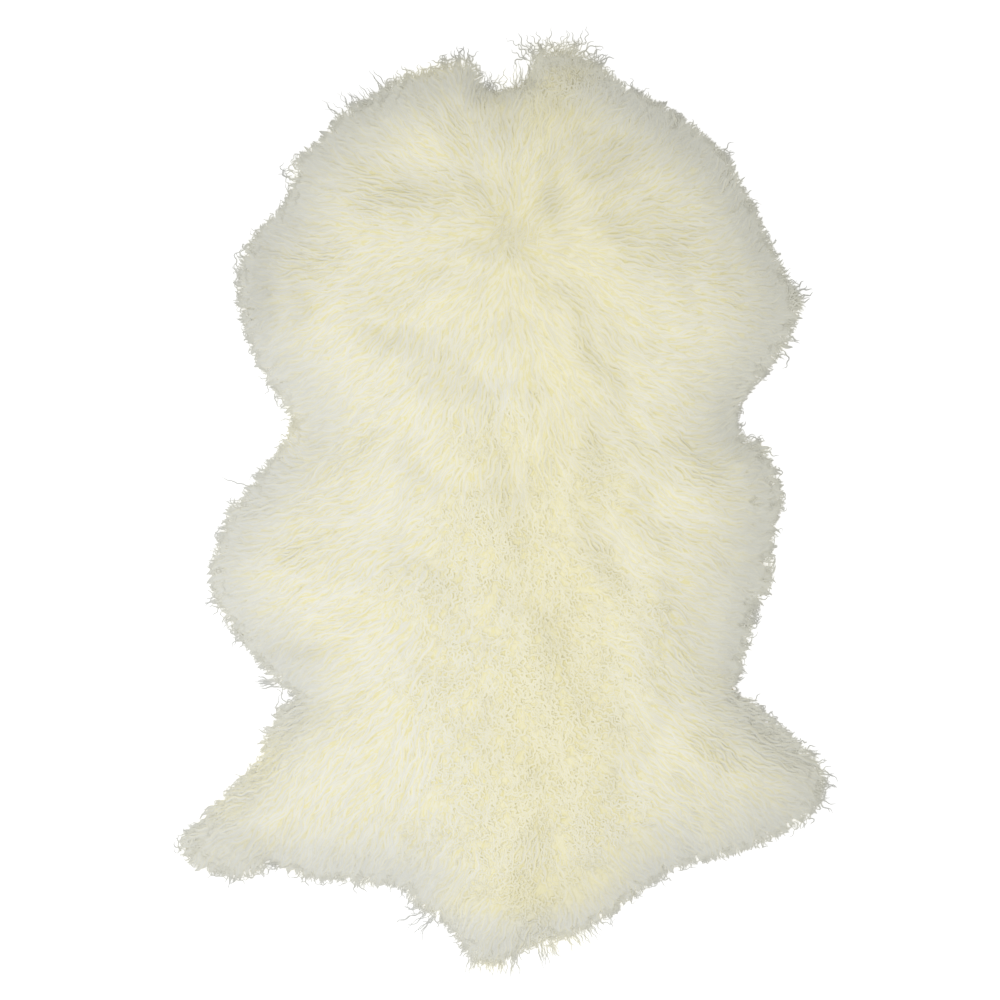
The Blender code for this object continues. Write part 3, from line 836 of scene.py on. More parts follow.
@dataclass
class Fleece:
    """The locks, laid on the pelt's shape."""

    form: PeltForm
    finish: bpy.types.Material
    flank: LockShape = LockShape(
        Coat.FLANK, steps=12, length_mm=(34, 60), width_mm=(3.4, 6.4),
        crimp_mm=(15, 26), swing_mm=(0.6, 1.5),
        bend_deg=14, sunk_mm=5.0, loft_mm=(-0.4, 0.42), clump=0.45, guide_share=0.2)
    back: LockShape = LockShape(
        Coat.BACK, steps=12, length_mm=(20, 34), width_mm=(2.0, 3.6),
        crimp_mm=(6.5, 9.5), swing_mm=(0.9, 2.0),
        bend_deg=60, sunk_mm=4.0, loft_mm=(-0.5, 0.75), clump=0.3, guide_share=0.25)
    rim: LockShape = LockShape(
        Coat.RIM, steps=12, length_mm=(28, 54), width_mm=(1.8, 3.6),
        crimp_mm=(9, 14), swing_mm=(0.8, 1.7),
        bend_deg=18, sunk_mm=3.0, loft_mm=(-0.35, 0.2), clump=0.5, guide_share=0.12)
    flyaway: LockShape = LockShape(
        Coat.FLYAWAY, steps=12, length_mm=(12, 28), width_mm=(0.8, 1.5),
        crimp_mm=(8, 13), swing_mm=(0.8, 2.0),
        bend_deg=100, sunk_mm=1.0, loft_mm=(0.2, 2.4), clump=0.4, guide_share=0.2)
    flank_pitch: float = 7.9 * MM
    back_pitch: float = 5.15 * MM
    rim_pitch: float = 5.4 * MM
    rim_depths: tuple[float, float] = (1 * MM, 30 * MM)
    rim_reaches: tuple[float, float] = (1 * MM, 9 * MM)
    flyaway_pitch: float = 5.0 * MM
    flyaway_depths: tuple[float, float] = (-2 * MM, 9 * MM)
    flyaway_reaches: tuple[float, float] = (6 * MM, 22 * MM)
    field_depth: float = 6.0 * MM
    field_reach_mm: tuple[float, float] = (-4, 7)
    curly_from: tuple[float, float] = (0.25, 0.75)
    row_spacing: float = 0.866
    jitter: float = 0.45
    tuft_lengths: tuple[float, float] = (0.7, 1.15)
    tuft_widths: tuple[float, float] = (0.75, 1.2)
    tuft_fanning: float = 0.4
    calm_swing: float = 0.3
    swing_per_degree: float = 0.012

    def scatter(self, pitch: float, rng: np.random.Generator) -> np.ndarray:
        """Spreads roots over the pelt's box.

        Args:
            pitch: how far apart they are.
            rng: the source of their unevenness.

        Returns:
            The points of a triangular lattice, each moved a little at random.
        """
        chart = self.form.depth
        low, high = chart.low, chart.low + chart.pitch * np.array(chart.values.shape)
        rows = np.arange(low[1], high[1], pitch * self.row_spacing)
        columns = np.arange(low[0], high[0], pitch)
        x, y = np.meshgrid(columns, rows)
        x = x + 0.5 * pitch * (np.arange(len(rows)) % 2)[:, None]
        places = np.stack([x.ravel(), y.ravel()], axis=1)
        return places + rng.uniform(-self.jitter, self.jitter, places.shape) * pitch

    def lay(self, shape: LockShape, roots: np.ndarray, past_edge: np.ndarray, rng: np.random.Generator,
            lies: np.ndarray | None = None) -> Strands:
        """Lays locks from their roots along the way the wool lies.

        Args:
            shape: the kind of lock.
            roots: their roots, as level points.
            past_edge: how far past the edge of the dense wool each may reach.
            rng: the source of their unevenness.
            lies: their own ways to lie, as level vectors, or None to follow the wool.

        Returns:
            The locks.
        """
        count, steps = len(roots), shape.steps
        share = np.arange(steps + 1) / steps
        lengths = rng.uniform(*shape.length_mm, count) * MM
        bends = np.clip(rng.normal(0, math.radians(shape.bend_deg), count), -FULLEST_TURN, FULLEST_TURN)
        start_turns = rng.normal(0, math.radians(shape.bend_deg) / 2, count)
        for _ in range(2):
            places = [roots]
            for s in share[:-1]:
                lie = self.form.lie.at(places[-1]) if lies is None else lies
                heading = turned(lie, start_turns + bends * s)
                places.append(places[-1] + heading * (lengths / steps)[:, None])
            path = np.stack(places, axis=1)
            out = self.form.depth.at(path) < -past_edge[:, None]
            first = np.where(out.any(axis=1), out.argmax(axis=1), steps)
            lengths = lengths * np.clip(first / steps, SHORTEST_CUT, 1.0)
        kept = lengths > LEAST_SHARE * shape.length_mm[0] * MM
        path, lengths, count = path[kept], lengths[kept], int(kept.sum())
        path = self._clumped(shape, path, share, rng)
        headings = unit(np.gradient(path, axis=1))
        sideways = np.stack([-headings[..., 1], headings[..., 0]], axis=-1)
        waves = rng.uniform(*shape.crimp_mm, count) * MM
        swing = np.minimum(rng.uniform(*shape.swing_mm, count) * MM, SWING_LIMIT * lengths)[:, None]
        swing = swing * np.minimum(1.0, share / CRIMP_GROWTH)
        starts = rng.uniform(0, 2 * math.pi, count)[:, None]
        turns = 2 * math.pi * (lengths / waves)[:, None] * share + starts
        path = path + sideways * (swing * np.sin(turns))[..., None]
        loft = np.minimum(rng.uniform(*shape.loft_mm, count) * MM, SWING_LIMIT * lengths)[:, None]
        loft = loft * np.sin(math.pi * share ** LOFT_EARLY)
        root_depth = np.minimum(shape.sunk_mm * MM, ROOT_SHARE * lengths)[:, None]
        sunk = root_depth * np.clip(1 - share / EMERGING_SHARE, 0.0, 1.0) ** ROOT_CURVE
        widths = rng.uniform(*shape.width_mm, count)[:, None] * MM
        fullness = ROOT_WIDTH + (1 - ROOT_WIDTH) * smooth_step(share / EMERGING_SHARE)
        widths = widths * fullness * (1 - share ** TAPER_LATE) ** TAPER_BLUNT
        strides = np.gradient(path, axis=1)
        bending = np.linalg.norm(np.gradient(unit(strides), axis=1), axis=-1)
        radii = np.linalg.norm(strides, axis=-1) / np.maximum(bending, 1e-3)
        widths = np.minimum(widths, WIDTH_TO_BEND * radii)
        rise = self.form.height.at(path) + loft - sunk + CRIMP_RISE * swing * np.cos(turns)
        rise = np.maximum(rise, FLOOR_CLEARANCE + LOCK_FLATNESS * widths * UNDER_SHARE)
        lines = np.concatenate([path, rise[..., None]], axis=-1)
        return Strands(shape, lines, widths, lengths, rng.uniform(0, 1, count))

    @staticmethod
    def _clumped(shape: LockShape, path: np.ndarray, share: np.ndarray,
                 rng: np.random.Generator) -> np.ndarray:
        """Draws the locks' ends towards the lock that leads each bunch.

        Args:
            shape: the kind of lock.
            path: the locks' middle lines, level.
            share: how far along a lock each of its steps is.
            rng: the source of their unevenness.

        Returns:
            The lines, bunched.
        """
        leaders = np.flatnonzero(rng.uniform(0, 1, len(path)) < shape.guide_share)
        if not len(leaders):
            return path
        tree = KDTree(len(leaders))
        for i, leader in enumerate(leaders):
            tree.insert((*path[leader, 0], 0.0), i)
        tree.balance()
        nearest = leaders[[tree.find((x, y, 0.0))[1] for x, y in path[:, 0]]]
        pull = shape.clump * rng.uniform(LEAST_CLUMP, 1.0, len(path))[:, None] * share ** CLUMP_LATE
        return path + pull[..., None] * (path[nearest] - path)

    def field_pieces(self) -> list[bpy.types.Object]:
        """Lays the locks of the flanks and the back.

        Returns:
            A piece for each kind in each band from the neck to the legs.
        """
        pieces = []
        for shape, pitch in ((self.flank, self.flank_pitch), (self.back, self.back_pitch)):
            rng = np.random.default_rng(shape.coat.value)
            roots = self.scatter(pitch, rng)
            curly = self.form.curl.at(roots) > rng.uniform(*self.curly_from, len(roots))
            wanted = curly if shape.coat is Coat.BACK else ~curly
            roots = roots[wanted & (self.form.depth.at(roots) > self.field_depth)]
            for band in BANDS:
                some = roots[(roots[:, 1] >= band.low_mm * MM) & (roots[:, 1] < band.high_mm * MM)]
                if len(some):
                    strands = self.lay(shape, some, rng.uniform(*self.field_reach_mm, len(some)) * MM, rng)
                    name = f"wool_{band.name}_{shape.coat.name.lower()}"
                    pieces.append(strands.piece(name, self.form, self.finish))
        return pieces

    def edge_locks(self, shape: LockShape, pitch: float, depths: tuple[float, float],
                   reaches: tuple[float, float], least: float, seed: float) -> Strands:
        """Lays the locks that reach past the dense edge, unevenly along it.

        Args:
            shape: the kind of lock.
            pitch: how far apart their roots are.
            depths: the least and the greatest depth of a root inside the edge.
            reaches: how far past it they reach where that is least, and where it is most.
            least: the least share of that reach which a lock has.
            seed: the seed of the unevenness along the edge.

        Returns:
            The locks.
        """
        rng = np.random.default_rng(shape.coat.value)
        roots = self.scatter(pitch, rng)
        depth = self.form.depth.at(roots)
        roots = roots[(depth > depths[0]) & (depth < depths[1])]
        fullness = smooth_step(0.4 + uneven(roots, per_metre=34, seed=seed))
        past = reaches[0] + (reaches[1] - reaches[0]) * fullness
        return self.lay(shape, roots, rng.uniform(least, 1, len(roots)) * past, rng)

    def rim_piece(self) -> bpy.types.Object:
        """The finer locks that cover the pile's wall and reach past the dense edge."""
        locks = self.edge_locks(self.rim, self.rim_pitch, self.rim_depths, self.rim_reaches, 0.2, seed=3.0)
        return locks.piece("wool_rim", self.form, self.finish)

    def flyaway_piece(self) -> bpy.types.Object:
        """Lays the thinnest locks, which stand out past the edge one by one.

        Returns:
            The piece that they make.
        """
        locks = self.edge_locks(
            self.flyaway, self.flyaway_pitch, self.flyaway_depths, self.flyaway_reaches, 0.3, seed=8.0)
        return locks.piece("wool_flyaway", self.form, self.finish)

    def tuft(self, row: Tuft, rng: np.random.Generator) -> Strands:
        """One bunch of locks that stands out by itself.

        Args:
            row: the bunch's place and sizes.
            rng: the source of its unevenness.

        Returns:
            Its locks.
        """
        lie = math.radians(row.lie_deg)
        along, across = np.array([math.cos(lie), math.sin(lie)]), np.array([-math.sin(lie), math.cos(lie)])
        sides, ranks = rng.uniform(-0.5, 0.5, (2, row.count, 1))
        roots = np.array([row.x_mm, row.y_mm]) + sides * row.wide_mm * across + ranks * row.deep_mm * along
        spread = rng.normal(0, self.tuft_fanning, row.count)
        angles = lie + np.radians(row.fan_deg) * (2 * sides[:, 0] + spread)
        lies = np.stack([np.cos(angles), np.sin(angles)], axis=1)
        base = self.flank if row.kind is Coat.FLANK else self.flyaway
        wildness = min(1.0, self.calm_swing + self.swing_per_degree * row.turn_deg)
        shape = replace(base, clump=0.0, bend_deg=row.turn_deg,
                        length_mm=tuple(part * row.length_mm for part in self.tuft_lengths),
                        width_mm=tuple(part * row.width_mm for part in self.tuft_widths),
                        swing_mm=tuple(wildness * swing for swing in base.swing_mm))
        return self.lay(shape, roots * MM, np.full(row.count, self.form.margin), rng, lies)

    def tuft_pieces(self) -> list[bpy.types.Object]:
        """Lays the bunches that stand out by themselves.

        Returns:
            One piece of the fine ones at the rim, and one of those in the field.
        """
        rng = np.random.default_rng(Coat.TUFT.value)
        pieces = []
        for kind, name in ((Coat.FLYAWAY, "wool_tufts"), (Coat.FLANK, "wool_ridges")):
            strands = Strands.joined([self.tuft(row, rng) for row in TUFTS if row.kind is kind])
            pieces.append(strands.piece(name, self.form, self.finish))
        return pieces


@dataclass(frozen=True)
class Band:
    """A stretch of the pelt between two heights, whose locks make one piece."""

    name: str
    low_mm: float
    high_mm: float


BANDS = (
    Band("neck", 300, 520),
    Band("shoulders", 190, 300),
    Band("waist", 70, 190),
    Band("belly", -50, 70),
    Band("loin", -170, -50),
    Band("rump", -290, -170),
    Band("legs", -520, -290),
)


def at_home(name: str, bm: bmesh.types.BMesh, finish: bpy.types.Material) -> bpy.types.Object:
    """Makes a finished piece of a bmesh, smooth, with its object at the origin.

    Args:
        name: the piece's name.
        bm: its shape, which is freed.
        finish: its material.

    Returns:
        The piece.
    """
    mesh = bpy.data.meshes.new(name)
    bm.to_mesh(mesh)
    bm.free()
    mesh.shade_smooth()
    return placed(name, mesh, finish)


@dataclass
class Undercoat:
    """The short dense wool under the locks, which fills the pile."""

    form: PeltForm
    pitch: float = 4.0 * MM
    sunk: float = 0.3 * MM
    sunk_in_curls: float = 0.3 * MM
    edge_inset: float = 5.5 * MM
    floor_gap: float = 0.4 * MM
    lump: float = 0.4 * MM
    lumps_per_metre: float = 110.0
    least_height: float = 0.8 * MM
    # Painted shade: how yellow the undercoat is for lying under the locks, and more so in the curls
    hidden: float = 0.3
    hidden_in_curls: float = 0.35
    along: float = 0.6
    tint: float = 0.5

    def build(self, finish: bpy.types.Material) -> bpy.types.Object:
        """Cuts an even grid to the edge of the loose wool, raises it to the wool and closes it below.

        Args:
            finish: the wool's material.

        Returns:
            The undercoat.
        """
        bm = self._sheet()
        places = np.array([v.co.xy[:] for v in bm.verts])
        heights = self.form.height.at(places) - self.sunk - self.sunk_in_curls * self.form.curl.at(places)
        floor = SKIN_TOP + self.floor_gap
        for vertex, height in zip(bm.verts, heights):
            spot = Vector((vertex.co.x * self.lumps_per_metre, vertex.co.y * self.lumps_per_metre, 3.0))
            vertex.co.z = max(floor + self.least_height, height + self.lump * noise.noise(spot))
        border = [e for e in bm.edges if e.is_boundary]
        wall = bmesh.ops.extrude_edge_only(bm, edges=border)["geom"]
        for vertex in (item for item in wall if isinstance(item, bmesh.types.BMVert)):
            vertex.co.z = floor
        bmesh.ops.edgeloop_fill(bm, edges=[e for e in bm.edges if e.is_boundary])
        bmesh.ops.recalc_face_normals(bm, faces=bm.faces)
        piece = at_home("undercoat", bm, finish)
        verts = np.array([v.co[:] for v in piece.data.vertices])
        hidden = self.hidden + self.hidden_in_curls * self.form.curl.at(verts[:, :2])
        along, tints = np.full(len(verts), self.along), np.full(len(verts), self.tint)
        dress(piece.data, self.form, verts, along, tints, hidden)
        lies = np.append(self.form.lie.at(verts[:, :2]), np.zeros((len(verts), 1)), axis=1)
        layer = piece.data.attributes.new("lie", "FLOAT_VECTOR", "POINT")
        layer.data.foreach_set("vector", lies.astype(np.float32).ravel())
        return piece

    def _sheet(self) -> bmesh.types.BMesh:
        """A level grid over the pelt, cut a little inside the edge of the loose wool.

        Returns:
            The grid, in one part, with its border drawn onto that line.
        """
        chart = self.form.depth
        size = chart.pitch * (np.array(chart.values.shape) - 1)
        cells = (size / self.pitch).astype(int)
        bm = bmesh.new()
        bmesh.ops.create_grid(bm, x_segments=int(cells[0]), y_segments=int(cells[1]), size=0.5)
        middle = chart.low + size / 2
        bmesh.ops.scale(bm, verts=bm.verts, vec=(*size, 1.0))
        bmesh.ops.translate(bm, verts=bm.verts, vec=(*middle, 0.0))
        depths = chart.at(np.array([v.co.xy[:] for v in bm.verts]))
        outside = [v for v, depth in zip(bm.verts, depths) if depth < self.edge_inset]
        bmesh.ops.delete(bm, geom=outside, context="VERTS")
        self._keep_main_part(bm)
        border = [v for v in bm.verts if v.is_boundary]
        places = np.array([v.co.xy[:] for v in border])
        step = chart.pitch * np.eye(2)
        slopes = np.stack([chart.at(places + s) - chart.at(places - s) for s in step], axis=1)
        drawn = places - unit(slopes) * np.clip(chart.at(places) - self.edge_inset, 0, self.pitch)[:, None]
        for vertex, spot in zip(border, drawn):
            vertex.co.xy = spot
        return bm

    @staticmethod
    def _keep_main_part(bm: bmesh.types.BMesh) -> None:
        """Removes what the cut left loose beside the sheet's main part.

        Args:
            bm: the sheet.
        """
        start = min(bm.verts, key=lambda v: v.co.xy.length)
        found, fringe = {start}, [start]
        while fringe:
            fringe = [n for v in fringe for e in v.link_edges if (n := e.other_vert(v)) not in found]
            fringe = list(set(fringe))
            found.update(fringe)
        loose = [v for v in bm.verts if v not in found or not v.link_faces]
        bmesh.ops.delete(bm, geom=loose, context="VERTS")


@dataclass
class Skin:
    """The tanned skin, with its suede side down."""

    form: PeltForm
    underside: float = 0.0

    def build(self, finish: bpy.types.Material) -> bpy.types.Object:
        """Args:
            finish: its material.

        Returns:
            The skin.
        """
        outline = BACK + self.form.skin[:, 1:2] * np.stack(
            [np.cos(self.form.skin[:, 0]), np.sin(self.form.skin[:, 0])], axis=1)
        bm = bmesh.new()
        circle = bmesh.ops.create_circle(bm, cap_ends=True, segments=len(outline), radius=1.0)
        around = sorted(circle["verts"], key=lambda v: math.atan2(v.co.y, v.co.x))
        for vertex, spot in zip(around, outline):
            vertex.co = (spot[0], spot[1], self.underside)
        made = bmesh.ops.extrude_face_region(bm, geom=bm.faces[:])["geom"]
        for vertex in (item for item in made if isinstance(item, bmesh.types.BMVert)):
            vertex.co.z = SKIN_TOP
        bmesh.ops.recalc_face_normals(bm, faces=bm.faces)
        piece = at_home("skin", bm, finish)
        piece.data.set_sharp_from_angle(angle=math.radians(30))
        return piece


class Bench:
    """A short way to add and join nodes in one node tree."""

    def __init__(self, tree: bpy.types.NodeTree) -> None:
        """Works on a tree."""
        self.tree = tree

    @classmethod
    def for_material(cls, name: str) -> tuple[Bench, bpy.types.Material]:
        """Starts an empty material.

        Args:
            name: the material's name.

        Returns:
            The bench for its nodes, and the material.
        """
        material = bpy.data.materials.new(name)
        material.use_nodes = True
        material.node_tree.nodes.clear()
        return cls(material.node_tree), material

    @classmethod
    def for_group(cls, name: str, inputs: dict[str, str], output: tuple[str, str]) -> Bench:
        """Starts a node group.

        Args:
            name: the group's name.
            inputs: the type of each input, by name.
            output: its output's name and type.

        Returns:
            The bench for its nodes.
        """
        tree = bpy.data.node_groups.new(name, "ShaderNodeTree")
        for socket, kind in inputs.items():
            tree.interface.new_socket(socket, in_out="INPUT", socket_type=kind)
        tree.interface.new_socket(output[0], in_out="OUTPUT", socket_type=output[1])
        return cls(tree)

    def add(self, kind: str, values: dict | None = None, **settings: object) -> bpy.types.Node:
        """Adds a node.

        Args:
            kind: the node's type.
            values: its inputs by name or number, each a constant or another node's output.
            settings: its own settings.

        Returns:
            The node.
        """
        node = self.tree.nodes.new(kind)
        for key, value in settings.items():
            setattr(node, key, value)
        for key, value in (values or {}).items():
            if isinstance(value, bpy.types.NodeSocket):
                self.tree.links.new(value, node.inputs[key])
            else:
                node.inputs[key].default_value = value
        return node

    def attribute(self, name: str) -> bpy.types.NodeSocket:
        """The value of a mesh attribute."""
        return self.add("ShaderNodeAttribute", attribute_name=name).outputs["Fac"]

    def maths(self, operation: str, a: object, b: object) -> bpy.types.NodeSocket:
        """Two values worked into one."""
        return self.add("ShaderNodeMath", {0: a, 1: b}, operation=operation).outputs[0]

    def vectors(self, operation: str, a: object, b: object) -> bpy.types.Node:
        """The node which works two vectors into one vector or one value."""
        return self.add("ShaderNodeVectorMath", {0: a, 1: b}, operation=operation)

    def mix(self, share: object, a: object, b: object, blend: str = "MIX") -> bpy.types.NodeSocket:
        """Two colours blended into one."""
        node = self.add("ShaderNodeMix", {0: share, 6: a, 7: b}, data_type="RGBA", blend_type=blend)
        return node.outputs[2]

    def scaled(self, colour: object, factor: bpy.types.NodeSocket) -> bpy.types.NodeSocket:
        """A colour made lighter or darker by a factor."""
        grey = self.add("ShaderNodeCombineColor", {0: factor, 1: factor, 2: factor}).outputs[0]
        return self.mix(1.0, colour, grey, "MULTIPLY")

    def group(self, name: str, values: dict) -> bpy.types.Node:
        """Places a node group."""
        return self.add("ShaderNodeGroup", values, node_tree=bpy.data.node_groups[name])

    def stretched(self, vector: object, factor: object) -> bpy.types.NodeSocket:
        """A vector made longer or shorter by a factor, or turned back where that is below 0."""
        return self.add("ShaderNodeVectorMath", {0: vector, "Scale": factor}, operation="SCALE").outputs[0]


Colour = tuple[float, float, float, float]


@dataclass(frozen=True)
class WoolColours:
    """The wool's colours by place, with painted shade and painted light, shared by the locks and the
    undercoat, as one node group.
    """

    name: str = "wool_colours"
    tip: Colour = (0.93, 0.922, 0.845, 1.0)
    # Painted light: the cooler colours here and below are those of the lower left, the side the key light
    # comes from
    tip_cool: Colour = (0.895, 0.897, 0.865, 1.0)
    tip_warm: Colour = (0.94, 0.914, 0.77, 1.0)
    # Painted shade: the greyer tips of the wool towards the edge of the pile
    tip_edge_shade: Colour = (0.76, 0.765, 0.69, 1.0)
    tip_edge_shade_cool: Colour = (0.78, 0.79, 0.75, 1.0)
    root: Colour = (0.95, 0.887, 0.52, 1.0)
    # Painted shade: the greyer roots of the wool towards the edge of the pile
    root_edge_shade: Colour = (0.82, 0.80, 0.66, 1.0)
    # Painted shade: the dark greys of the thin wisps past the edge
    wisp: Colour = (0.52, 0.52, 0.485, 1.0)
    wisp_cool: Colour = (0.66, 0.665, 0.64, 1.0)
    tint_low: float = 0.965
    tint_span: float = 0.05
    root_share: float = 0.35

    def build(self) -> None:
        """Makes the group."""
        inputs = {name.capitalize(): "NodeSocketFloat" for name in (*DRESSING, "streak")}
        bench = Bench.for_group(self.name, inputs, ("Colour", "NodeSocketColor"))
        given = bench.add("NodeGroupInput").outputs
        # Painted light: towards the lower left the colours turn less yellow, and the wisps lighter
        tips = bench.mix(given["Warm"], bench.mix(given["Cool"], self.tip, self.tip_cool), self.tip_warm)
        # Painted shade: the tips grey towards the edge of the pile
        tips = bench.mix(given["Rim"], tips, bench.mix(given["Cool"], self.tip_edge_shade, self.tip_edge_shade_cool))
        # Painted shade greys the roots towards the edge of the pile too. The wool takes the roots' colour
        # near a lock's root as its own colour, and as painted shade where it lies low in the pile and in a
        # fibre's groove
        roots = bench.mix(given["Rim"], self.root, self.root_edge_shade)
        rooted = bench.maths("MULTIPLY", bench.maths("SUBTRACT", 1.0, given["Along"]), self.root_share)
        deep = bench.maths("MAXIMUM", bench.maths("MAXIMUM", rooted, given["Sunk"]), given["Streak"])
        # Painted shade: the thin wisps past the edge take these dark greys
        wisps = bench.mix(given["Cool"], self.wisp, self.wisp_cool)
        colour = bench.mix(given["Wisp"], bench.mix(deep, tips, roots), wisps)
        shift = bench.maths("MULTIPLY_ADD", given["Tint"], self.tint_span)
        shift.node.inputs[2].default_value = self.tint_low
        bench.add("NodeGroupOutput", {"Colour": bench.scaled(colour, shift)})


@dataclass(frozen=True)
class CoatLight:
    """Which way the wool takes its light, shared by the locks and the undercoat, as one node group."""

    name: str = "coat_light"

    def build(self) -> None:
        """Makes the group. A face seen from behind takes its light as from the coat's outer side, and
        one that looks away from that side, as under a lock, takes it from its own side."""
        inputs = {"Relief": "NodeSocketVector", "Face": "NodeSocketVector", "Behind": "NodeSocketFloat"}
        bench = Bench.for_group(self.name, inputs, ("Normal", "NodeSocketVector"))
        given = bench.add("NodeGroupInput").outputs
        side = bench.maths("SUBTRACT", 1.0, bench.maths("MULTIPLY", given["Behind"], 2.0))
        outer = bench.stretched(given["Relief"], side)
        along_face = bench.vectors("DOT_PRODUCT", outer, given["Face"]).outputs["Value"]
        away = bench.maths("MULTIPLY", bench.maths("MINIMUM", along_face, 0.0), -2.0)
        facing = bench.vectors("ADD", outer, bench.stretched(given["Face"], away)).outputs["Vector"]
        bench.add("NodeGroupOutput", {"Normal": facing})


@dataclass(frozen=True)
class WoolFinish:
    """Undyed wool: matt, with fine fibres that run along each lock."""

    name: str
    across: float = 4.4
    along: float = 1.1
    streak: float = 0.5
    streak_from: float = 0.52
    streak_to: float = 0.36
    shade_low: float = 0.95
    shade_high: float = 1.02
    fibre_strength: float = 0.25
    fibre_depth: float = 0.4 * MM
    roughness: float = 0.8
    sheen: float = 0.15
    sheen_roughness: float = 0.5
    specular: float = 0.25

    def places(self, bench: Bench) -> bpy.types.NodeSocket:
        """Where each fibre is: along a lock and across it, in the lock's own UV map.

        Args:
            bench: the material's nodes.

        Returns:
            The place, as a vector.
        """
        given = bench.add("ShaderNodeTexCoord").outputs["UV"]
        scale = (self.across, self.along, 1.0)
        return bench.add("ShaderNodeMapping", {"Vector": given, "Scale": scale}).outputs[0]

    def build(self) -> bpy.types.Material:
        """Makes the material.

        Returns:
            The material.
        """
        bench, material = Bench.for_material(self.name)
        fibres = bench.add("ShaderNodeTexNoise", {
            "Vector": self.places(bench), "Scale": 1.0, "Detail": 2.0}).outputs[0]
        # The fibres' noise gives their relief and their grain of colour, with painted shade: where the
        # relief lies low, in the grooves, the wool is yellower and darker
        streak = bench.add("ShaderNodeMapRange", {
            0: fibres, 1: self.streak_from, 2: self.streak_to, 3: 0.0, 4: self.streak}).outputs[0]
        values = {name.capitalize(): bench.attribute(name) for name in DRESSING}
        colours = bench.group(WoolColours().name, {**values, "Streak": streak})
        lit = bench.add("ShaderNodeMapRange", {
            0: fibres, 1: 0.3, 2: 0.7, 3: self.shade_low, 4: self.shade_high})
        colour = bench.scaled(colours.outputs["Colour"], lit.outputs[0])
        relief = bench.add("ShaderNodeBump", {"Strength": self.fibre_strength, "Distance": self.fibre_depth,
                                              "Height": fibres}).outputs[0]
        geometry = bench.add("ShaderNodeNewGeometry").outputs
        facing = bench.group(CoatLight().name, {
            "Relief": relief, "Face": geometry["True Normal"], "Behind": geometry["Backfacing"]}).outputs[0]
        shader = bench.add("ShaderNodeBsdfPrincipled", {
            "Base Color": colour, "Roughness": self.roughness, "Sheen Weight": self.sheen,
            "Sheen Roughness": self.sheen_roughness, "Specular IOR Level": self.specular, "Normal": facing})
        bench.add("ShaderNodeOutputMaterial", {"Surface": shader.outputs[0]})
        return material


@dataclass(frozen=True)
class ShortWoolFinish(WoolFinish):
    """The undercoat's wool: small tufts whose fibres run the way the wool lies."""

    streak: float = 1.0
    streak_from: float = 0.6
    streak_to: float = 0.4
    tuft_size: float = 9.0 * MM
    fibre_width: float = 2.2 * MM
    fibre_length: float = 12.0 * MM
    apart: float = 40.0

    def places(self, bench: Bench) -> bpy.types.NodeSocket:
        """Where each fibre is: along and across the lie, from the middle of its own small tuft.

        Args:
            bench: the material's nodes.

        Returns:
            The place, as a vector.
        """
        given = bench.add("ShaderNodeTexCoord").outputs["Object"]
        cell = bench.add("ShaderNodeTexVoronoi", {"Vector": given, "Scale": 1 / self.tuft_size})
        local = bench.vectors("SUBTRACT", given, cell.outputs["Position"]).outputs["Vector"]
        lie = bench.add("ShaderNodeAttribute", attribute_name="lie").outputs["Vector"]
        side = bench.vectors("CROSS_PRODUCT", (0.0, 0.0, 1.0), lie).outputs["Vector"]
        across = bench.vectors("DOT_PRODUCT", local, side).outputs["Value"]
        along = bench.vectors("DOT_PRODUCT", local, lie).outputs["Value"]
        spread = bench.add("ShaderNodeCombineXYZ", {
            0: bench.maths("DIVIDE", across, self.fibre_width),
            1: bench.maths("DIVIDE", along, self.fibre_length)}).outputs[0]
        apart = bench.vectors("MULTIPLY", cell.outputs["Color"], (self.apart,) * 3).outputs["Vector"]
        return bench.vectors("ADD", spread, apart).outputs["Vector"]


@dataclass(frozen=True)
class SuedeFinish:
    """The suede side of a tanned lambskin: cream, napped, with faint cloudy marks."""

    name: str = "suede"
    pale: Colour = (0.70, 0.60, 0.45, 1.0)
    dark: Colour = (0.56, 0.46, 0.33, 1.0)
    nap_scale: float = 900.0
    cloud_scale: float = 14.0
    nap_share: float = 0.4
    cloud_share: float = 0.6
    nap_strength: float = 0.35
    nap_depth: float = 0.4 * MM
    roughness: float = 0.9
    sheen: float = 0.3

    def build(self) -> bpy.types.Material:
        """Makes the material.

        Returns:
            The material.
        """
        bench, material = Bench.for_material(self.name)
        places = bench.add("ShaderNodeTexCoord").outputs["Object"]
        clouds, nap = (
            bench.add("ShaderNodeTexNoise", {"Vector": places, "Scale": scale, "Detail": detail})
            for scale, detail in ((self.cloud_scale, 5.0), (self.nap_scale, 3.0)))
        share = bench.maths("MULTIPLY_ADD", nap.outputs[0], self.nap_share)
        cloudy = bench.maths("MULTIPLY", clouds.outputs[0], self.cloud_share)
        bench.tree.links.new(cloudy, share.node.inputs[2])
        colour = bench.mix(share, self.dark, self.pale)
        relief = bench.add("ShaderNodeBump", {
            "Strength": self.nap_strength, "Distance": self.nap_depth, "Height": nap.outputs[0]})
        shader = bench.add("ShaderNodeBsdfPrincipled", {
            "Base Color": colour, "Roughness": self.roughness, "Sheen Weight": self.sheen,
            "Normal": relief.outputs[0]})
        bench.add("ShaderNodeOutputMaterial", {"Surface": shader.outputs[0]})
        return material


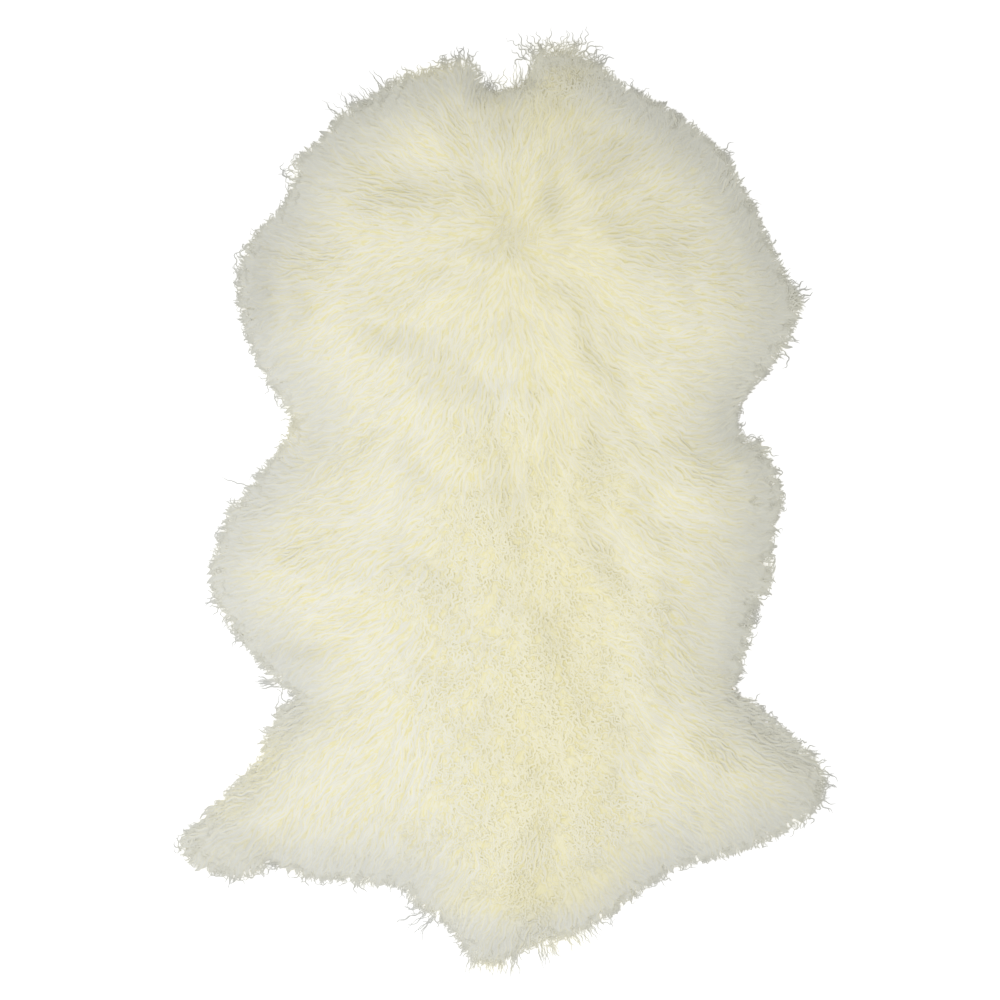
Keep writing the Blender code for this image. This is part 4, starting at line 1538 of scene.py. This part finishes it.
@dataclass
class Studio:
    """A pale floor, soft light and a camera straight above the pelt."""

    camera_height: float = 4.0
    view_width: float = 1.0
    centre: tuple[float, float] = (-0.006, 0.002)
    floor_z: float = -0.3 * MM
    floor_half: float = 6.0
    floor_glow: float = 0.35
    dome_strength: float = 0.515
    key_power: float = 10.0
    key_size: float = 1.3
    key_place: tuple[float, float, float] = (-0.28, -0.25, 1.35)
    key_lean: float = 0.4

    def build(self) -> None:
        """Makes the floor, the lights and the camera."""
        self._floor()
        self._lights()
        camera = bpy.data.cameras.new("camera")
        camera.angle = 2 * math.atan(self.view_width / 2 / self.camera_height)
        camera.clip_end = 50.0
        holder = bpy.data.objects.new("camera", camera)
        holder.location = (*self.centre, self.camera_height)
        bpy.context.scene.collection.objects.link(holder)
        bpy.context.scene.camera = holder
        bpy.context.scene.view_settings.view_transform = "Standard"

    def _floor(self) -> None:
        """A plain near-white floor."""
        material = bpy.data.materials.new("floor_white")
        material.use_nodes = True
        shader = material.node_tree.nodes["Principled BSDF"]
        shader.inputs["Base Color"].default_value = (0.96, 0.96, 0.96, 1.0)
        shader.inputs["Roughness"].default_value = 1.0
        shader.inputs["Specular IOR Level"].default_value = 0.0
        shader.inputs["Emission Color"].default_value = (1.0, 1.0, 1.0, 1.0)
        shader.inputs["Emission Strength"].default_value = self.floor_glow
        bm = bmesh.new()
        bmesh.ops.create_grid(bm, x_segments=1, y_segments=1, size=self.floor_half)
        bmesh.ops.translate(bm, verts=bm.verts, vec=(0, 0, self.floor_z))
        at_home("floor", bm, material)

    def _lights(self) -> None:
        """A white dome and one wide soft light from the lower left."""
        world = bpy.data.worlds.new("dome")
        world.use_nodes = True
        backdrop = world.node_tree.nodes["Background"]
        backdrop.inputs["Color"].default_value = (1.0, 1.0, 1.0, 1.0)
        backdrop.inputs["Strength"].default_value = self.dome_strength
        bpy.context.scene.world = world
        key = bpy.data.lights.new("key", "AREA")
        key.energy = self.key_power
        key.size = self.key_size
        holder = bpy.data.objects.new("key", key)
        holder.location = self.key_place
        x, y, z = self.key_place
        aim = Vector((-self.key_lean * x, -self.key_lean * y, -z))
        holder.rotation_euler = aim.to_track_quat("-Z", "Y").to_euler()
        bpy.context.scene.collection.objects.link(holder)


def main() -> None:
    """Builds the rug's pieces in order, then the studio, and notes the model's size."""
    form = PeltForm(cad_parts[NODE])
    LOG.info("pelt's shape read: %d rim points, %d skin points", len(form.rim), len(form.skin))
    WoolColours().build()
    CoatLight().build()
    lock_wool = WoolFinish("lock_wool").build()
    short_wool = ShortWoolFinish("short_wool").build()
    fleece = Fleece(form, lock_wool)
    wool = [Undercoat(form).build(short_wool), *fleece.field_pieces(), fleece.rim_piece(),
            fleece.flyaway_piece(), *fleece.tuft_pieces()]
    skin = Skin(form).build(SuedeFinish().build())
    for piece in (skin, *wool):
        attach(piece, BODY)
        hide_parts(NODE)
        piece.data.calc_loop_triangles()
        LOG.info("%s: %d triangles", piece.name, len(piece.data.loop_triangles))
    Studio().build()


if __name__ == "__main__":
    logging.basicConfig(level=logging.INFO, format="%(name)s: %(message)s")
    main()
